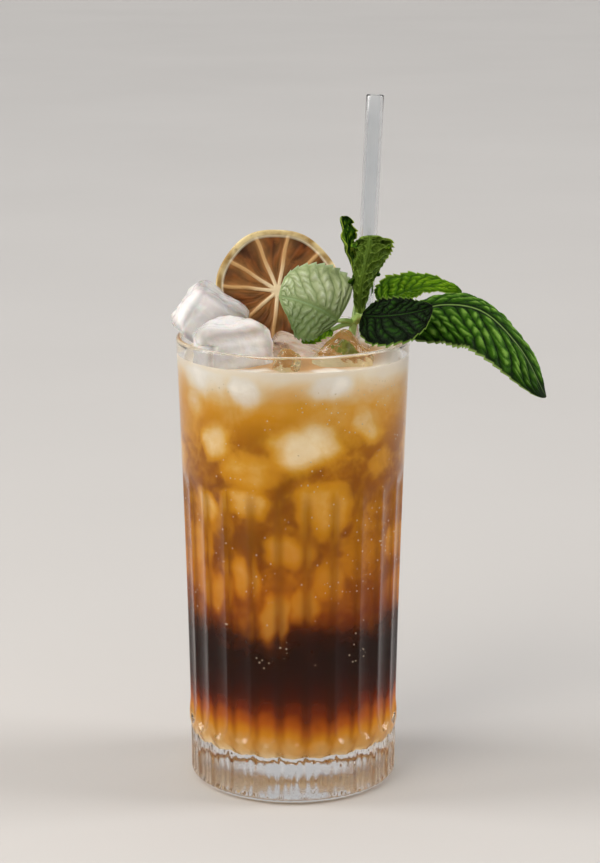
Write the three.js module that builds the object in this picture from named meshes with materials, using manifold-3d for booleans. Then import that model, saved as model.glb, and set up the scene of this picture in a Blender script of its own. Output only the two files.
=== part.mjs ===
// Iced tea cocktail in a fluted highball glass, with ice, a glass straw, a dried citrus wheel and mint.
// Millimetres, +Z up. The origin is the centre of the glass's underside, and -Y is the front.
import * as THREE from 'three';
import { mergeVertices } from 'three/addons/utils/BufferGeometryUtils.js';
import Module from 'manifold-3d';

const wasm = await Module();
wasm.setup();

// Glass: a tall tumbler that narrows from the rim to a thick base
const GLASS_HEIGHT = 157;
const RIM_RADIUS = 40;
const BASE_RADIUS = 36;
const TAPER_POWER = 1.5;
const RIM_WALL = 2;
const FLOOR_HEIGHT = 15.5;
const FLOOR_RADIUS = 32;
const FLOOR_FILLET = 6;
const WALL_POWER = 0.8;
const WALL_ROWS = [50, 100, 145];
const BASE_FILLET = 3.5;
const FLUTES = 24;
const STEPS_PER_FLUTE = 4;
const FLUTE_DEPTH = 1.1;
const FLUTE_TOP = 113;
const FLUTE_FADE = 9;
const FLUTE_FOOT = 20;
const FOOT_ARCH = 4;
const FOOT_RISE = 2.5;
const FOOT_SWELL = 0.45;
const SWELL_SPREAD = 3;
const BASE_FADE = 4;
const BASE_FLUTE_DEPTH = 0.45;
const OUTSIDE_ROWS = [7, 14, 18, 20.5, 23, 26, 60, FLUTE_TOP - FLUTE_FADE, FLUTE_TOP, 140];

// Drink, the gap that separate pieces keep, and the wider one that faceted cuts need for it
const DRINK_LEVEL = 150.5;
const GAP = 0.3;
const CUT_GAP = 0.42;

// Straw: a clear glass tube that leans a little to the right and back
const STRAW_FOOT = new THREE.Vector3(18.4, 8, 17.6);
const STRAW_TOP = new THREE.Vector3(27.9, 12, 237.6);
const STRAW_RADIUS = 3;
const STRAW_BORE = 2.1;

// Citrus wheel: a dried slice that stands behind the ice
const WHEEL_CENTRE = new THREE.Vector3(-5.3, 18, 169);
const WHEEL_RADIUS = 21.7;
const WHEEL_LEAN_DEG = 14;
const WHEEL_TURN_DEG = 4;
const RIND_THICKNESS = 3.2;
const MEMBRANE_THICKNESS = 2.4;
const PULP_THICKNESS = 1.2;
const RIND_WIDTH = 2;
const MEMBRANE_HALF_WIDTH = 0.7;
const RIND_STEP = 0.8;
const RIND_ROUNDING = 0.6;
const HUB_RADIUS = 2;
const WHEEL_WARP = 0.9;
const SPOKES_DEG = [8, 41, 79, 112, 147, 174, 220, 263, 298, 333];

// Mint: a stem that stands in the drink, and leaves with toothed, wavy edges
const STEM_RADIUS = 1.3;
const STEM_PATH = [[15, -1, 112], [17.5, 0.5, 140], [20, 1.2, 156], [21, 1.5, 162.5]];
const STALK_RADIUS = 0.7;
const STALK_START = new THREE.Vector3(20.8, 1.4, 161);
const LEAF_THICKNESS = 0.5;
const TEETH = 11;
const TOOTH = 0.7;
const EDGE_WAVE = 0.8;
const WAVES = 9;
const STALK_HALF_WIDTH = 0.6;

const gradient = (from, to, t) => from + (to - from) * t;
const smooth = (t) => {
  const x = Math.min(1, Math.max(0, t));
  return x * x * (3 - 2 * x);
};

function material(colour, roughness, opacity = 1) {
  return new THREE.MeshStandardMaterial({
    color: colour, roughness, metalness: 0, opacity, transparent: opacity < 1,
  });
}

function named(name, geometry, look) {
  const mesh = new THREE.Mesh(geometry, look);
  mesh.name = name;
  return mesh;
}

function welded(geometry) {
  const bare = geometry.clone();
  bare.deleteAttribute('normal');
  bare.deleteAttribute('uv');
  return mergeVertices(bare, 1e-4);
}

function toSolid(geometry) {
  const bare = welded(geometry);
  return new wasm.Manifold(new wasm.Mesh({
    numProp: 3,
    vertProperties: new Float32Array(bare.attributes.position.array),
    triVerts: new Uint32Array(bare.index.array),
  }));
}

function fromSolid(solid) {
  const mesh = solid.getMesh();
  const geometry = new THREE.BufferGeometry();
  geometry.setAttribute('position', new THREE.BufferAttribute(new Float32Array(mesh.vertProperties), 3));
  geometry.setIndex(new THREE.BufferAttribute(new Uint32Array(mesh.triVerts), 1));
  return geometry;
}

function cutBy(geometry, cutters) {
  let solid = toSolid(geometry);
  for (const cutter of cutters) {
    solid = solid.subtract(toSolid(cutter));
  }
  return fromSolid(solid);
}

// Closed surface of revolution about +Z from a list of [radius, height]
function turned(profile, segments) {
  const points = profile.map(([radius, height]) => new THREE.Vector2(radius, height));
  const geometry = new THREE.LatheGeometry(points, segments);
  geometry.rotateX(Math.PI / 2);
  return geometry;
}

// A closed skin over a grid of rows and columns, where columns wrap round and the end rows are single points
function skinned(rowCount, columnCount, pointAt) {
  const positions = [];
  const triangles = [];
  const push = (point) => positions.push(point.x, point.y, point.z) / 3 - 1;
  const first = push(pointAt(0, 0));
  const rows = [];
  for (let row = 1; row < rowCount - 1; row += 1) {
    rows.push(Array.from({ length: columnCount }, (_, column) => push(pointAt(row, column))));
  }
  const last = push(pointAt(rowCount - 1, 0));
  for (let column = 0; column < columnCount; column += 1) {
    const next = (column + 1) % columnCount;
    triangles.push(first, rows[0][next], rows[0][column]);
    for (let row = 0; row + 1 < rows.length; row += 1) {
      triangles.push(rows[row][column], rows[row][next], rows[row + 1][column]);
      triangles.push(rows[row][next], rows[row + 1][next], rows[row + 1][column]);
    }
    triangles.push(last, rows[rows.length - 1][column], rows[rows.length - 1][next]);
  }
  const geometry = new THREE.BufferGeometry();
  geometry.setAttribute('position', new THREE.Float32BufferAttribute(positions, 3));
  geometry.setIndex(triangles);
  return geometry;
}

// Outer radius of the plain cone that the flutes are cut into
function outerRadius(z) {
  return gradient(BASE_RADIUS, RIM_RADIUS, (z / GLASS_HEIGHT) ** TAPER_POWER);
}

function innerRadius(z) {
  const height = (z - FLOOR_HEIGHT) / (GLASS_HEIGHT - FLOOR_HEIGHT);
  return gradient(FLOOR_RADIUS, RIM_RADIUS - RIM_WALL, height ** WALL_POWER);
}

// How far the outside lies under the plain cone: across is -1 to 1 from ridge to ridge
function fluteDepth(z, across) {
  const hollow = 1 - across * across;
  const foot = FLUTE_FOOT + FOOT_ARCH * across * across;
  const fadeIn = smooth((FLUTE_TOP - z) / FLUTE_FADE);
  const aboveFoot = smooth((z - foot) / FOOT_RISE);
  const swell = FOOT_SWELL * Math.exp(-(((z - foot) / SWELL_SPREAD) ** 2));
  const baseFade = smooth((foot - z) / BASE_FADE) * smooth(z / BASE_FILLET);
  return hollow * (FLUTE_DEPTH * fadeIn * aboveFoot + BASE_FLUTE_DEPTH * baseFade) - swell;
}

// Rounded corner between the floor and the wall inside, set in by a clearance
function floorCorner(clearance) {
  const corner = innerRadius(FLOOR_HEIGHT + FLOOR_FILLET) - clearance;
  return [90, 60, 30, 0].map((turn) => {
    const angle = THREE.MathUtils.degToRad(turn);
    const height = FLOOR_FILLET * (1 - Math.sin(angle));
    return [corner - FLOOR_FILLET * (1 - Math.cos(angle)), FLOOR_HEIGHT + clearance + height];
  });
}

function glassMesh() {
  const columns = FLUTES * STEPS_PER_FLUTE;
  const rows = [[0, 0], [BASE_RADIUS - BASE_FILLET, 0]];
  for (const turn of [30, 60]) {
    const angle = THREE.MathUtils.degToRad(turn);
    const reach = BASE_RADIUS - BASE_FILLET * (1 - Math.sin(angle));
    rows.push([reach, BASE_FILLET * (1 - Math.cos(angle))]);
  }
  OUTSIDE_ROWS.forEach((z) => rows.push([outerRadius(z), z, true]));
  const lip = RIM_WALL / 2;
  for (const turn of [0, 45, 90, 135, 180]) {
    const angle = THREE.MathUtils.degToRad(turn);
    rows.push([RIM_RADIUS - lip + lip * Math.cos(angle), GLASS_HEIGHT - lip + lip * Math.sin(angle)]);
  }
  WALL_ROWS.toReversed().forEach((z) => rows.push([innerRadius(z), z]));
  rows.push(...floorCorner(0).reverse());
  rows.push([0, FLOOR_HEIGHT]);
  const geometry = skinned(rows.length, columns, (row, column) => {
    const [radius, z, fluted] = rows[row];
    const across = ((column % STEPS_PER_FLUTE) / STEPS_PER_FLUTE) * 2 - 1;
    const reach = fluted ? radius - fluteDepth(z, across) : radius;
    const angle = (column / columns) * Math.PI * 2 + Math.PI / FLUTES;
    return new THREE.Vector3(reach * Math.cos(angle), reach * Math.sin(angle), z);
  });
  return named('glass', geometry, material('#e9eaee', 0.05, 0.3));
}

// Direction and place of the straw, as a matrix that stands a +Z tube on its foot
function strawPlace() {
  const along = STRAW_TOP.clone().sub(STRAW_FOOT).normalize();
  const turn = new THREE.Quaternion().setFromUnitVectors(new THREE.Vector3(0, 0, 1), along);
  return new THREE.Matrix4().compose(STRAW_FOOT, turn, new THREE.Vector3(1, 1, 1));
}

// A tube with rounded ends, grown by a clearance when it is used as a cutter
function strawGeometry(clearance) {
  const length = STRAW_TOP.distanceTo(STRAW_FOOT) + clearance;
  const bore = STRAW_BORE - clearance;
  const outer = STRAW_RADIUS + clearance;
  const middle = (bore + outer) / 2;
  const lip = (outer - bore) / 2;
  const profile = [[bore, lip - clearance], [middle, -clearance], [outer, lip - clearance]];
  profile.push([outer, length - lip], [middle, length], [bore, length - lip], [bore, lip - clearance]);
  const geometry = turned(profile, 20);
  geometry.applyMatrix4(strawPlace());
  return geometry;
}

function strawMesh() {
  return named('straw', welded(strawGeometry(0)), material('#dfe4ea', 0.05, 0.35));
}

// Ice: melted cubes, each with its middle, half sizes, turn in degrees and a seed for its lumps. The two at
// the back hold the citrus wheel up.
const ICE = {
  ice_left_top: { at: [-27.6, 1, 162.2], half: [11.6, 9.4, 9.8], turn: [6, 34, 12], seed: 1 },
  ice_left_front: { at: [-20, -16.5, 151.8], half: [12.4, 9.6, 13.4], turn: [4, -8, 16], seed: 2 },
  ice_middle: { at: [1.6, 0.6, 147.2], half: [11.4, 8, 8.6], turn: [0, 16, -8], seed: 3 },
  ice_right_front: { at: [16.6, -17.6, 151], half: [8.2, 6.4, 8.8], turn: [6, 44, 10], seed: 4 },
  ice_front_chip: { at: [-2, -28, 151.2], half: [3.4, 3.8, 6], turn: [10, 12, 30], seed: 5 },
  ice_back_left: { at: [-13, 26, 146], half: [11, 7.5, 9.5], turn: [8, 6, 16], seed: 6 },
  ice_back_right: { at: [12, 25, 145], half: [9.5, 8, 9], turn: [-6, 12, -14], seed: 7 },
};
const ICE_STEPS = 4;
const ICE_SQUARENESS = 4.5;
const ICE_LUMPS = 0.06;
const RIM_CLEARANCE = 1.5;

// Keeps a point inside the glass below the rim
function insideGlass(point) {
  const radius = Math.hypot(point.x, point.y);
  const limit = innerRadius(Math.min(point.z, GLASS_HEIGHT)) - 2 * GAP;
  if (point.z < GLASS_HEIGHT + RIM_CLEARANCE && radius > limit) {
    point.x *= limit / radius;
    point.y *= limit / radius;
  }
  return point;
}

function iceGeometry(shape, clearance) {
  const box = welded(new THREE.BoxGeometry(2, 2, 2, ICE_STEPS, ICE_STEPS, ICE_STEPS));
  const turn = new THREE.Euler(...shape.turn.map((degrees) => THREE.MathUtils.degToRad(degrees)));
  const place = box.attributes.position;
  for (let i = 0; i < place.count; i += 1) {
    const point = new THREE.Vector3().fromBufferAttribute(place, i).normalize();
    const reach = ['x', 'y', 'z'].reduce((sum, axis) => sum + Math.abs(point[axis]) ** ICE_SQUARENESS, 0);
    const lumps = Math.sin(5 * point.x + 7 * shape.seed) * Math.sin(4 * point.y + 3 * shape.seed)
      + Math.sin(6 * point.z + 5 * shape.seed) * Math.cos(3 * point.x + shape.seed);
    point.multiplyScalar(reach ** (-1 / ICE_SQUARENESS) * (1 + ICE_LUMPS * lumps));
    point.set(
      point.x * (shape.half[0] + clearance),
      point.y * (shape.half[1] + clearance),
      point.z * (shape.half[2] + clearance),
    );
    point.applyEuler(turn).add(new THREE.Vector3(...shape.at));
    if (clearance === 0) {
      insideGlass(point);
    }
    place.setXYZ(i, point.x, point.y, point.z);
  }
  return box;
}

// Each piece of ice gives way to the pieces before it
function iceMeshes() {
  const placed = [];
  return Object.entries(ICE).map(([name, shape]) => {
    const geometry = cutBy(iceGeometry(shape, 0), placed.map((before) => iceGeometry(before, CUT_GAP)));
    placed.push(shape);
    return named(name, geometry, material('#dcdadd', 0.25, 0.7));
  });
}

// Places round the wheel: each membrane's crest and foot, and two places on the pulp of each segment
function wheelPlaces() {
  const starts = SPOKES_DEG.map((degrees) => THREE.MathUtils.degToRad(degrees));
  return starts.flatMap((start, index) => {
    const end = index + 1 < starts.length ? starts[index + 1] : starts[0] + 2 * Math.PI;
    const onPulp = [[0, 1], [0.36, 0], [0.64, 0], [1, -1]].map(([share, side]) => ({ share, side }));
    return [{ share: 0, side: 0 }, ...onPulp].map((place) => ({ ...place, start, end }));
  });
}

// A point of the wheel's face, which looks along Y: the pulp has shrunk between its membranes
function wheelPoint(radius, place, facing, clearance) {
  const spread = Math.min(MEMBRANE_HALF_WIDTH / radius, 0.2 * (place.end - place.start));
  const angle = gradient(place.start, place.end, place.share) + place.side * spread;
  const onCrest = (place.share === 0 && place.side === 0) || radius < HUB_RADIUS;
  const inner = onCrest ? MEMBRANE_THICKNESS : PULP_THICKNESS;
  const thickness = radius >= WHEEL_RADIUS - RIND_WIDTH ? RIND_THICKNESS : inner;
  const warp = WHEEL_WARP * Math.sin(2 * angle + 0.6) * (radius / WHEEL_RADIUS) ** 2;
  const uneven = 1 + 0.012 * Math.sin(3 * angle + 1) + 0.01 * Math.sin(7 * angle);
  const onEdge = radius > WHEEL_RADIUS - RIND_WIDTH;
  const reach = radius * uneven + (onEdge ? clearance : 0);
  const across = warp + facing * (thickness / 2 + clearance);
  return new THREE.Vector3(reach * Math.cos(angle), across, reach * Math.sin(angle));
}

function wheelGeometry(clearance) {
  const places = wheelPlaces();
  const rindInside = WHEEL_RADIUS - RIND_WIDTH;
  const rings = [0.6 * HUB_RADIUS, 1.5 * HUB_RADIUS, 0.45 * rindInside, 0.75 * rindInside];
  rings.push(rindInside - RIND_STEP, rindInside, WHEEL_RADIUS - RIND_ROUNDING);
  const edgeRow = rings.length + 1;
  const rowCount = 2 * edgeRow + 1;
  const hub = MEMBRANE_THICKNESS / 2 + clearance;
  const geometry = skinned(rowCount, places.length, (row, column) => {
    const facing = Math.sign(edgeRow - row);
    if (row === 0 || row === rowCount - 1) {
      return new THREE.Vector3(0, facing * hub, 0);
    }
    const radius = row === edgeRow ? WHEEL_RADIUS : rings[Math.min(row, rowCount - 1 - row) - 1];
    return wheelPoint(radius, places[column], facing, clearance);
  });
  geometry.rotateX(-THREE.MathUtils.degToRad(WHEEL_LEAN_DEG));
  geometry.rotateZ(THREE.MathUtils.degToRad(WHEEL_TURN_DEG));
  geometry.translate(...WHEEL_CENTRE);
  return geometry;
}

function wheelMesh() {
  return named('citrus_wheel', wheelGeometry(0), material('#9a5a34', 0.7));
}

// One side of a leaf: its width, how far in degrees it bends up at the stalk and at the tip, and its
// outline. A low blunt makes it wide close to the stalk, and a low point wide close to the tip.
function side(width, bendAtStalk, bendAtTip, blunt = 0.5, point = 0.75) {
  return { width, bendAtStalk, bendAtTip, blunt, point };
}

// Mint leaves. rib runs from the stalk to the tip, and up is the way the upper face looks at the stalk and
// at the tip. left and right are as seen from above with the tip ahead.
const LEAVES = {
  mint_leaf_left: {
    rib: [[15.3, -4, 162.6], [9.6, -6.4, 166.8], [1, -9.8, 170.8], [-4.6, -13, 172.4]],
    up: [[0.12, -0.87, 0.3], [-0.1, -0.8, 0.5]],
    left: side(12.4, 25, 10, 0.9), right: side(14.4, 12, 6, 0.38), steps: [14, 8],
  },
  mint_leaf_upright: {
    rib: [[22.6, -2.4, 164.8], [22.9, -5, 174], [24.4, -5.2, 182], [25.8, -3.8, 189], [26, -1.6, 191.4]],
    up: [[0.1, 1, 0.1], [0.1, 0.8, -0.5]],
    left: side(9, 165, 50, 0.35, 0.12), right: side(8, 160, 60, 0.35, 0.12), steps: [16, 8],
  },
  mint_leaf_curl: {
    rib: [[21.6, 4.4, 167], [20.6, 4.8, 178], [18, 3.4, 187.5], [16.4, 1.4, 197.4]],
    up: [[1, -0.3, 0], [0.7, -0.7, 0.2]],
    left: side(2.8, 50, 90, 1.4, 0.3), right: side(3.2, 50, 90, 1.4, 0.3), steps: [10, 4],
  },
  mint_leaf_back: {
    rib: [[30.8, 5, 166.6], [38, 9, 169.6], [47, 10.5, 171.4], [58, 8.5, 170.2]],
    up: [[0, -0.3, 0.95], [0.2, -0.38, 0.9]],
    left: side(8.8, 20, 12, 0.4), right: side(4.4, 20, 12, 0.4), steps: [12, 6],
  },
  mint_leaf_front: {
    rib: [[23.4, -6, 164.6], [30, -11, 165.4], [39, -15, 167.2], [46.8, -16.5, 169.4]],
    up: [[0.1, -0.8, 0.5], [0.1, -0.7, 0.6]],
    left: side(5.5, 20, 10), right: side(11.5, 20, 10, 0.7), steps: [12, 6],
  },
  mint_leaf_right: {
    rib: [[26, -1.5, 162.4], [38, -2.2, 164.2], [51, -3.2, 167.8], [64, -4, 165.8], [77, -5.4, 153.4],
      [86.2, -6.5, 136.6]],
    up: [[0, -0.35, 0.95], [0.75, -0.5, 0.35]],
    left: side(11, -65, -34, 1), right: side(16.5, -38, -24, 1), steps: [18, 8],
  },
  mint_leaf_small: {
    rib: [[13, -4, 159.4], [8.6, -7, 158.2], [3.2, -10.4, 156.2]],
    up: [[-0.2, -0.7, 0.65], [-0.2, -0.7, 0.65]],
    left: side(2, 20, 10), right: side(2.4, 20, 10), steps: [6, 4],
  },
};

// Share of a side's full width at t along the rib, 0 at the stalk and the tip, and 1 at the widest
function widthShare({ blunt, point }, t) {
  const widest = blunt / (blunt + point);
  return (t / widest) ** blunt * ((1 - t) / (1 - widest)) ** point;
}

// Middle surface of a leaf: t runs along the rib and s across it from -1 to 1
function leafPoint(leaf, curve, t, s) {
  const middle = curve.getPoint(t);
  const along = curve.getTangent(t);
  const up = new THREE.Vector3(...leaf.up[0]).lerp(new THREE.Vector3(...leaf.up[1]), t);
  up.addScaledVector(along, -up.dot(along)).normalize();
  const across = new THREE.Vector3().crossVectors(along, up);
  const half = s < 0 ? leaf.left : leaf.right;
  const share = widthShare(half, t);
  const tooth = TOOTH * (1 - ((t * TEETH) % 1)) * Math.abs(s) ** 6;
  const reach = (half.width + tooth) * share + STALK_HALF_WIDTH;
  const bend = THREE.MathUtils.degToRad(gradient(half.bendAtStalk, half.bendAtTip, t));
  const swing = bend * Math.abs(s);
  const outward = Math.sign(s) * reach * (Math.sin(swing) / bend);
  const wave = EDGE_WAVE * s * s * Math.sin(WAVES * t + 2 * s) * share;
  const rise = reach * ((1 - Math.cos(swing)) / bend) + wave;
  return middle.addScaledVector(across, outward).addScaledVector(up, rise);
}

// Both faces share one grid of points, half a thickness to either side of the middle surface
function leafGeometry(leaf, thickness) {
  const curve = new THREE.CatmullRomCurve3(leaf.rib.map((point) => new THREE.Vector3(...point)));
  const [rows, columns] = leaf.steps;
  const positions = [];
  const small = 0.01;
  for (const facing of [1, -1]) {
    for (let row = 0; row <= rows; row += 1) {
      for (let column = 0; column <= columns; column += 1) {
        const t = row / rows;
        const s = (column / columns) * 2 - 1;
        const point = leafPoint(leaf, curve, t, s);
        const ahead = leafPoint(leaf, curve, Math.min(1, t + small), s);
        ahead.sub(leafPoint(leaf, curve, Math.max(0, t - small), s));
        const beside = leafPoint(leaf, curve, t, Math.min(1, s + small));
        beside.sub(leafPoint(leaf, curve, t, Math.max(-1, s - small)));
        point.addScaledVector(beside.cross(ahead).normalize(), (facing * thickness) / 2);
        positions.push(point.x, point.y, point.z);
      }
    }
  }
  const stride = columns + 1;
  const under = stride * (rows + 1);
  const triangles = [];
  const quad = (a, b, c, d) => triangles.push(a, b, c, a, c, d);
  for (let row = 0; row < rows; row += 1) {
    for (let column = 0; column < columns; column += 1) {
      const corner = row * stride + column;
      quad(corner, corner + 1, corner + stride + 1, corner + stride);
      quad(corner + under, corner + under + stride, corner + under + stride + 1, corner + under + 1);
    }
    const left = row * stride;
    const right = left + columns;
    quad(left, left + stride, left + stride + under, left + under);
    quad(right, right + under, right + stride + under, right + stride);
  }
  for (let column = 0; column < columns; column += 1) {
    const end = rows * stride + column;
    quad(column, column + under, column + under + 1, column + 1);
    quad(end, end + 1, end + under + 1, end + under);
  }
  const geometry = new THREE.BufferGeometry();
  geometry.setAttribute('position', new THREE.Float32BufferAttribute(positions, 3));
  geometry.setIndex(triangles);
  return geometry;
}

function leafMeshes() {
  return Object.entries(LEAVES).map(([name, leaf]) => {
    return named(name, leafGeometry(leaf, LEAF_THICKNESS), material('#3f7a2c', 0.6));
  });
}

function tube(points, radius, steps, sides) {
  const outline = new THREE.Shape();
  outline.absarc(0, 0, radius, 0, Math.PI * 2, false);
  const path = new THREE.CatmullRomCurve3(points);
  return new THREE.ExtrudeGeometry(outline, { steps, curveSegments: sides / 2, extrudePath: path });
}

// The main stem, longer and thicker by a clearance when it is used as a cutter
function stemGeometry(clearance) {
  const points = STEM_PATH.map((point) => new THREE.Vector3(...point));
  points[0].z -= clearance;
  return tube(points, STEM_RADIUS + clearance, 8, 8);
}

// The stem with a short stalk towards each leaf, which ends just short of it
function stemMesh() {
  let solid = toSolid(stemGeometry(0));
  for (const leaf of Object.values(LEAVES)) {
    const end = new THREE.Vector3(...leaf.rib[0]);
    const toLeaf = end.clone().sub(STALK_START);
    const short = (2 * GAP + STALK_RADIUS) / toLeaf.length();
    const middle = STALK_START.clone().addScaledVector(toLeaf, 0.5);
    end.addScaledVector(toLeaf, -short);
    solid = solid.add(toSolid(tube([STALK_START, middle, end], STALK_RADIUS, 2, 6)));
  }
  return named('mint_stem', fromSolid(solid), material('#5d7a34', 0.6));
}

function drinkMesh(cutters) {
  const profile = [[0, FLOOR_HEIGHT + GAP], ...floorCorner(GAP)];
  WALL_ROWS.forEach((z) => profile.push([innerRadius(z) - GAP, z]));
  profile.push([innerRadius(DRINK_LEVEL) - GAP, DRINK_LEVEL], [0, DRINK_LEVEL]);
  const geometry = cutBy(turned(profile, 48), cutters);
  return named('drink', geometry, material('#b8741a', 0.1, 0.75));
}

const sunk = [
  ...Object.values(ICE).map((shape) => iceGeometry(shape, CUT_GAP)),
  strawGeometry(CUT_GAP),
  stemGeometry(CUT_GAP),
  wheelGeometry(CUT_GAP),
];

const cocktail = new THREE.Group();
cocktail.add(glassMesh(), drinkMesh(sunk), strawMesh(), wheelMesh(), stemMesh());
cocktail.add(...iceMeshes(), ...leafMeshes());

export default cocktail;
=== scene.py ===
import math

import bmesh
import bpy
import numpy as np
from mathutils import Euler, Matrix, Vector


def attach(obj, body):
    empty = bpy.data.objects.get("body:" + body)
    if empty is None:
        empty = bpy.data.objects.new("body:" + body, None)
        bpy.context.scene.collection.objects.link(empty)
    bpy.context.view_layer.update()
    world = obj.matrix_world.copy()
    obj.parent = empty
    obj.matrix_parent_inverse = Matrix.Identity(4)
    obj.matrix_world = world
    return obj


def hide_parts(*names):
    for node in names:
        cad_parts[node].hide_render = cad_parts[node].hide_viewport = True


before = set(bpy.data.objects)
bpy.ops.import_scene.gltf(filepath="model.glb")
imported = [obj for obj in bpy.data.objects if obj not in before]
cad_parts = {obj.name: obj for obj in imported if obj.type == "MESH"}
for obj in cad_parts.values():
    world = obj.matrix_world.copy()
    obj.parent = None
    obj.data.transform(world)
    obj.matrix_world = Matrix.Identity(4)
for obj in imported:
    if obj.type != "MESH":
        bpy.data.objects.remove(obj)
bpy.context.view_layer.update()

# Studio: a pale, dull table top that runs far back, in a pale room with a tall band of light on each side.
# One soft lamp stands at the front left and one hangs overhead. The camera is 85 cm away, a little above.
MM = 0.001
CAMERA_PLACE = (0.0024, -0.850, 0.319)
CAMERA_PITCH_DEG = 12.98
SENSOR_MM = 36
FOCAL_PX = 2530
FRAME_HEIGHT_PX = 863
TABLE_REACH = 60
TABLE_DROP = 0.2 * MM
TABLE_GRAIN = 0.05 * MM
LAMP_AIM = Vector((0, 0, 0.11))
ROOM_COLOUR = (0.89, 0.885, 0.88, 1)
ROOM_LIGHT = 0.55
SIDE_LIGHT = 10
SIDE_EDGE = (0.965, 0.985)
SIDE_HEIGHT = (0.0, 0.1, 0.55, 0.75)
CLEAR_BOUNCES = 20
SEE_THROUGH_BOUNCES = 16
# The numbers of a Mix node's sockets for colours.
MIX_SHARE, MIX_FIRST, MIX_SECOND, MIX_RESULT = 0, 6, 7, 2


def colour(code):
    """Linear colour from a hex code such as b8741a."""
    parts = [int(code[i:i + 2], 16) / 255 for i in (0, 2, 4)]
    return (*[c / 12.92 if c < 0.04045 else ((c + 0.055) / 1.055) ** 2.4 for c in parts], 1)


class Wire:
    """One output socket of a node, so that maths on it is written as plain Python."""

    def __init__(self, tree, socket):
        self.tree = tree
        self.socket = socket

    def out(self, name):
        return Wire(self.tree, self.socket.node.outputs[name])

    def maths(self, operation, *values):
        return self.tree.add("ShaderNodeMath", {"operation": operation}, dict(enumerate(values)))

    def __add__(self, other):
        return self.maths("ADD", self, other)

    def __radd__(self, other):
        return self.maths("ADD", other, self)

    def __sub__(self, other):
        return self.maths("SUBTRACT", self, other)

    def __rsub__(self, other):
        return self.maths("SUBTRACT", other, self)

    def __mul__(self, other):
        return self.maths("MULTIPLY", self, other)

    def __rmul__(self, other):
        return self.maths("MULTIPLY", other, self)

    def __truediv__(self, other):
        return self.maths("DIVIDE", self, other)

    def __pow__(self, other):
        return self.maths("POWER", self, other)


class Tree:
    """A node tree being filled. add makes any node, with its settings first and then its sockets' values."""

    def __init__(self, group):
        self.group = group

    def add(self, kind, settings=None, values=None, out=0):
        node = self.group.nodes.new(kind)
        for name, value in (settings or {}).items():
            if name == "stops":
                self.set_stops(node.color_ramp, value)
            else:
                setattr(node, name, value)
        for name, value in (values or {}).items():
            if isinstance(value, Wire):
                self.group.links.new(value.socket, node.inputs[name])
            else:
                node.inputs[name].default_value = value
        return Wire(self, node.outputs[out]) if node.outputs else None

    @staticmethod
    def set_stops(ramp, stops):
        while len(ramp.elements) < len(stops):
            ramp.elements.new(1)
        for element, (place, shade) in zip(ramp.elements, stops):
            element.position = place
            element.color = shade

    def rise(self, value, low, high):
        """0 up to low, 1 from high on, and a smooth rise between them."""
        values = {"Value": value, "From Min": low, "From Max": high}
        return self.add("ShaderNodeMapRange", {"interpolation_type": "SMOOTHSTEP"}, values)

    def fall(self, value, low, high):
        return 1 - self.rise(value, low, high)

    def mix(self, first, second, share):
        """The first colour, with a share from 0 to 1 of the second in it. Each is a Wire or a hex code."""
        values = {MIX_SHARE: share}
        for socket, shade in ((MIX_FIRST, first), (MIX_SECOND, second)):
            values[socket] = colour(shade) if isinstance(shade, str) else shade
        return self.add("ShaderNodeMix", {"data_type": "RGBA"}, values, MIX_RESULT)

    def place(self):
        return self.add("ShaderNodeTexCoord", out="Object")

    def blend(self, first, second, share):
        """The first shader, with a share from 0 to 1 of the second in it."""
        return self.add("ShaderNodeMixShader", values={0: share, 1: first, 2: second})

    def split(self, vector, out="X"):
        return self.add("ShaderNodeSeparateXYZ", values={"Vector": vector}, out=out)

    def scaled(self, vector, factor):
        return self.add("ShaderNodeVectorMath", {"operation": "SCALE"}, {0: vector, "Scale": factor})

    def noise(self, scale, detail=3, rough=0.5, twist=0):
        values = {"Vector": self.place(), "Scale": scale, "Detail": detail}
        values.update({"Roughness": rough, "Distortion": twist})
        return self.add("ShaderNodeTexNoise", values=values)

    def bump(self, height, distance, strength):
        values = {"Height": height, "Distance": distance, "Strength": strength}
        return self.add("ShaderNodeBump", values=values)

    def principled(self, **values):
        named = {name.replace("_", " "): value for name, value in values.items()}
        return self.add("ShaderNodeBsdfPrincipled", values=named)


def empty_tree(owner):
    """The node tree of a new material or world, with nothing in it."""
    owner.use_nodes = True
    owner.node_tree.nodes.clear()
    return Tree(owner.node_tree)


def look(name, make):
    """A material whose nodes make(tree) adds. make returns the surface's shader, or that and the volume's."""
    material = bpy.data.materials.new(name)
    tree = empty_tree(material)
    shaders = make(tree)
    if not isinstance(shaders, tuple):
        shaders = (shaders,)
    tree.add("ShaderNodeOutputMaterial", values=dict(zip(("Surface", "Volume"), shaders)))
    return material


def placed(name, mesh):
    thing = bpy.data.objects.new(name, mesh)
    bpy.context.scene.collection.objects.link(thing)
    return thing


def lamp(name, place, size, power, tint="ffffff"):
    data = bpy.data.lights.new(name, "AREA")
    data.shape = "RECTANGLE"
    data.size, data.size_y = size
    data.energy = power
    data.color = colour(tint)[:3]
    thing = placed(name, data)
    thing.location = place
    thing.rotation_euler = (LAMP_AIM - Vector(place)).to_track_quat("-Z", "Y").to_euler()


camera_data = bpy.data.cameras.new("camera")
camera_data.sensor_width = SENSOR_MM
camera_data.lens = SENSOR_MM * FOCAL_PX / FRAME_HEIGHT_PX
camera = placed("camera", camera_data)
camera.location = CAMERA_PLACE
camera.rotation_euler = (math.radians(90 - CAMERA_PITCH_DEG), 0, 0)
bpy.context.scene.camera = camera


def from_axis(spot):
    """How far out a split place or direction lies from the upright axis."""
    return spot.maths("SQRT", spot * spot + spot.out("Y") * spot.out("Y"))


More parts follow.
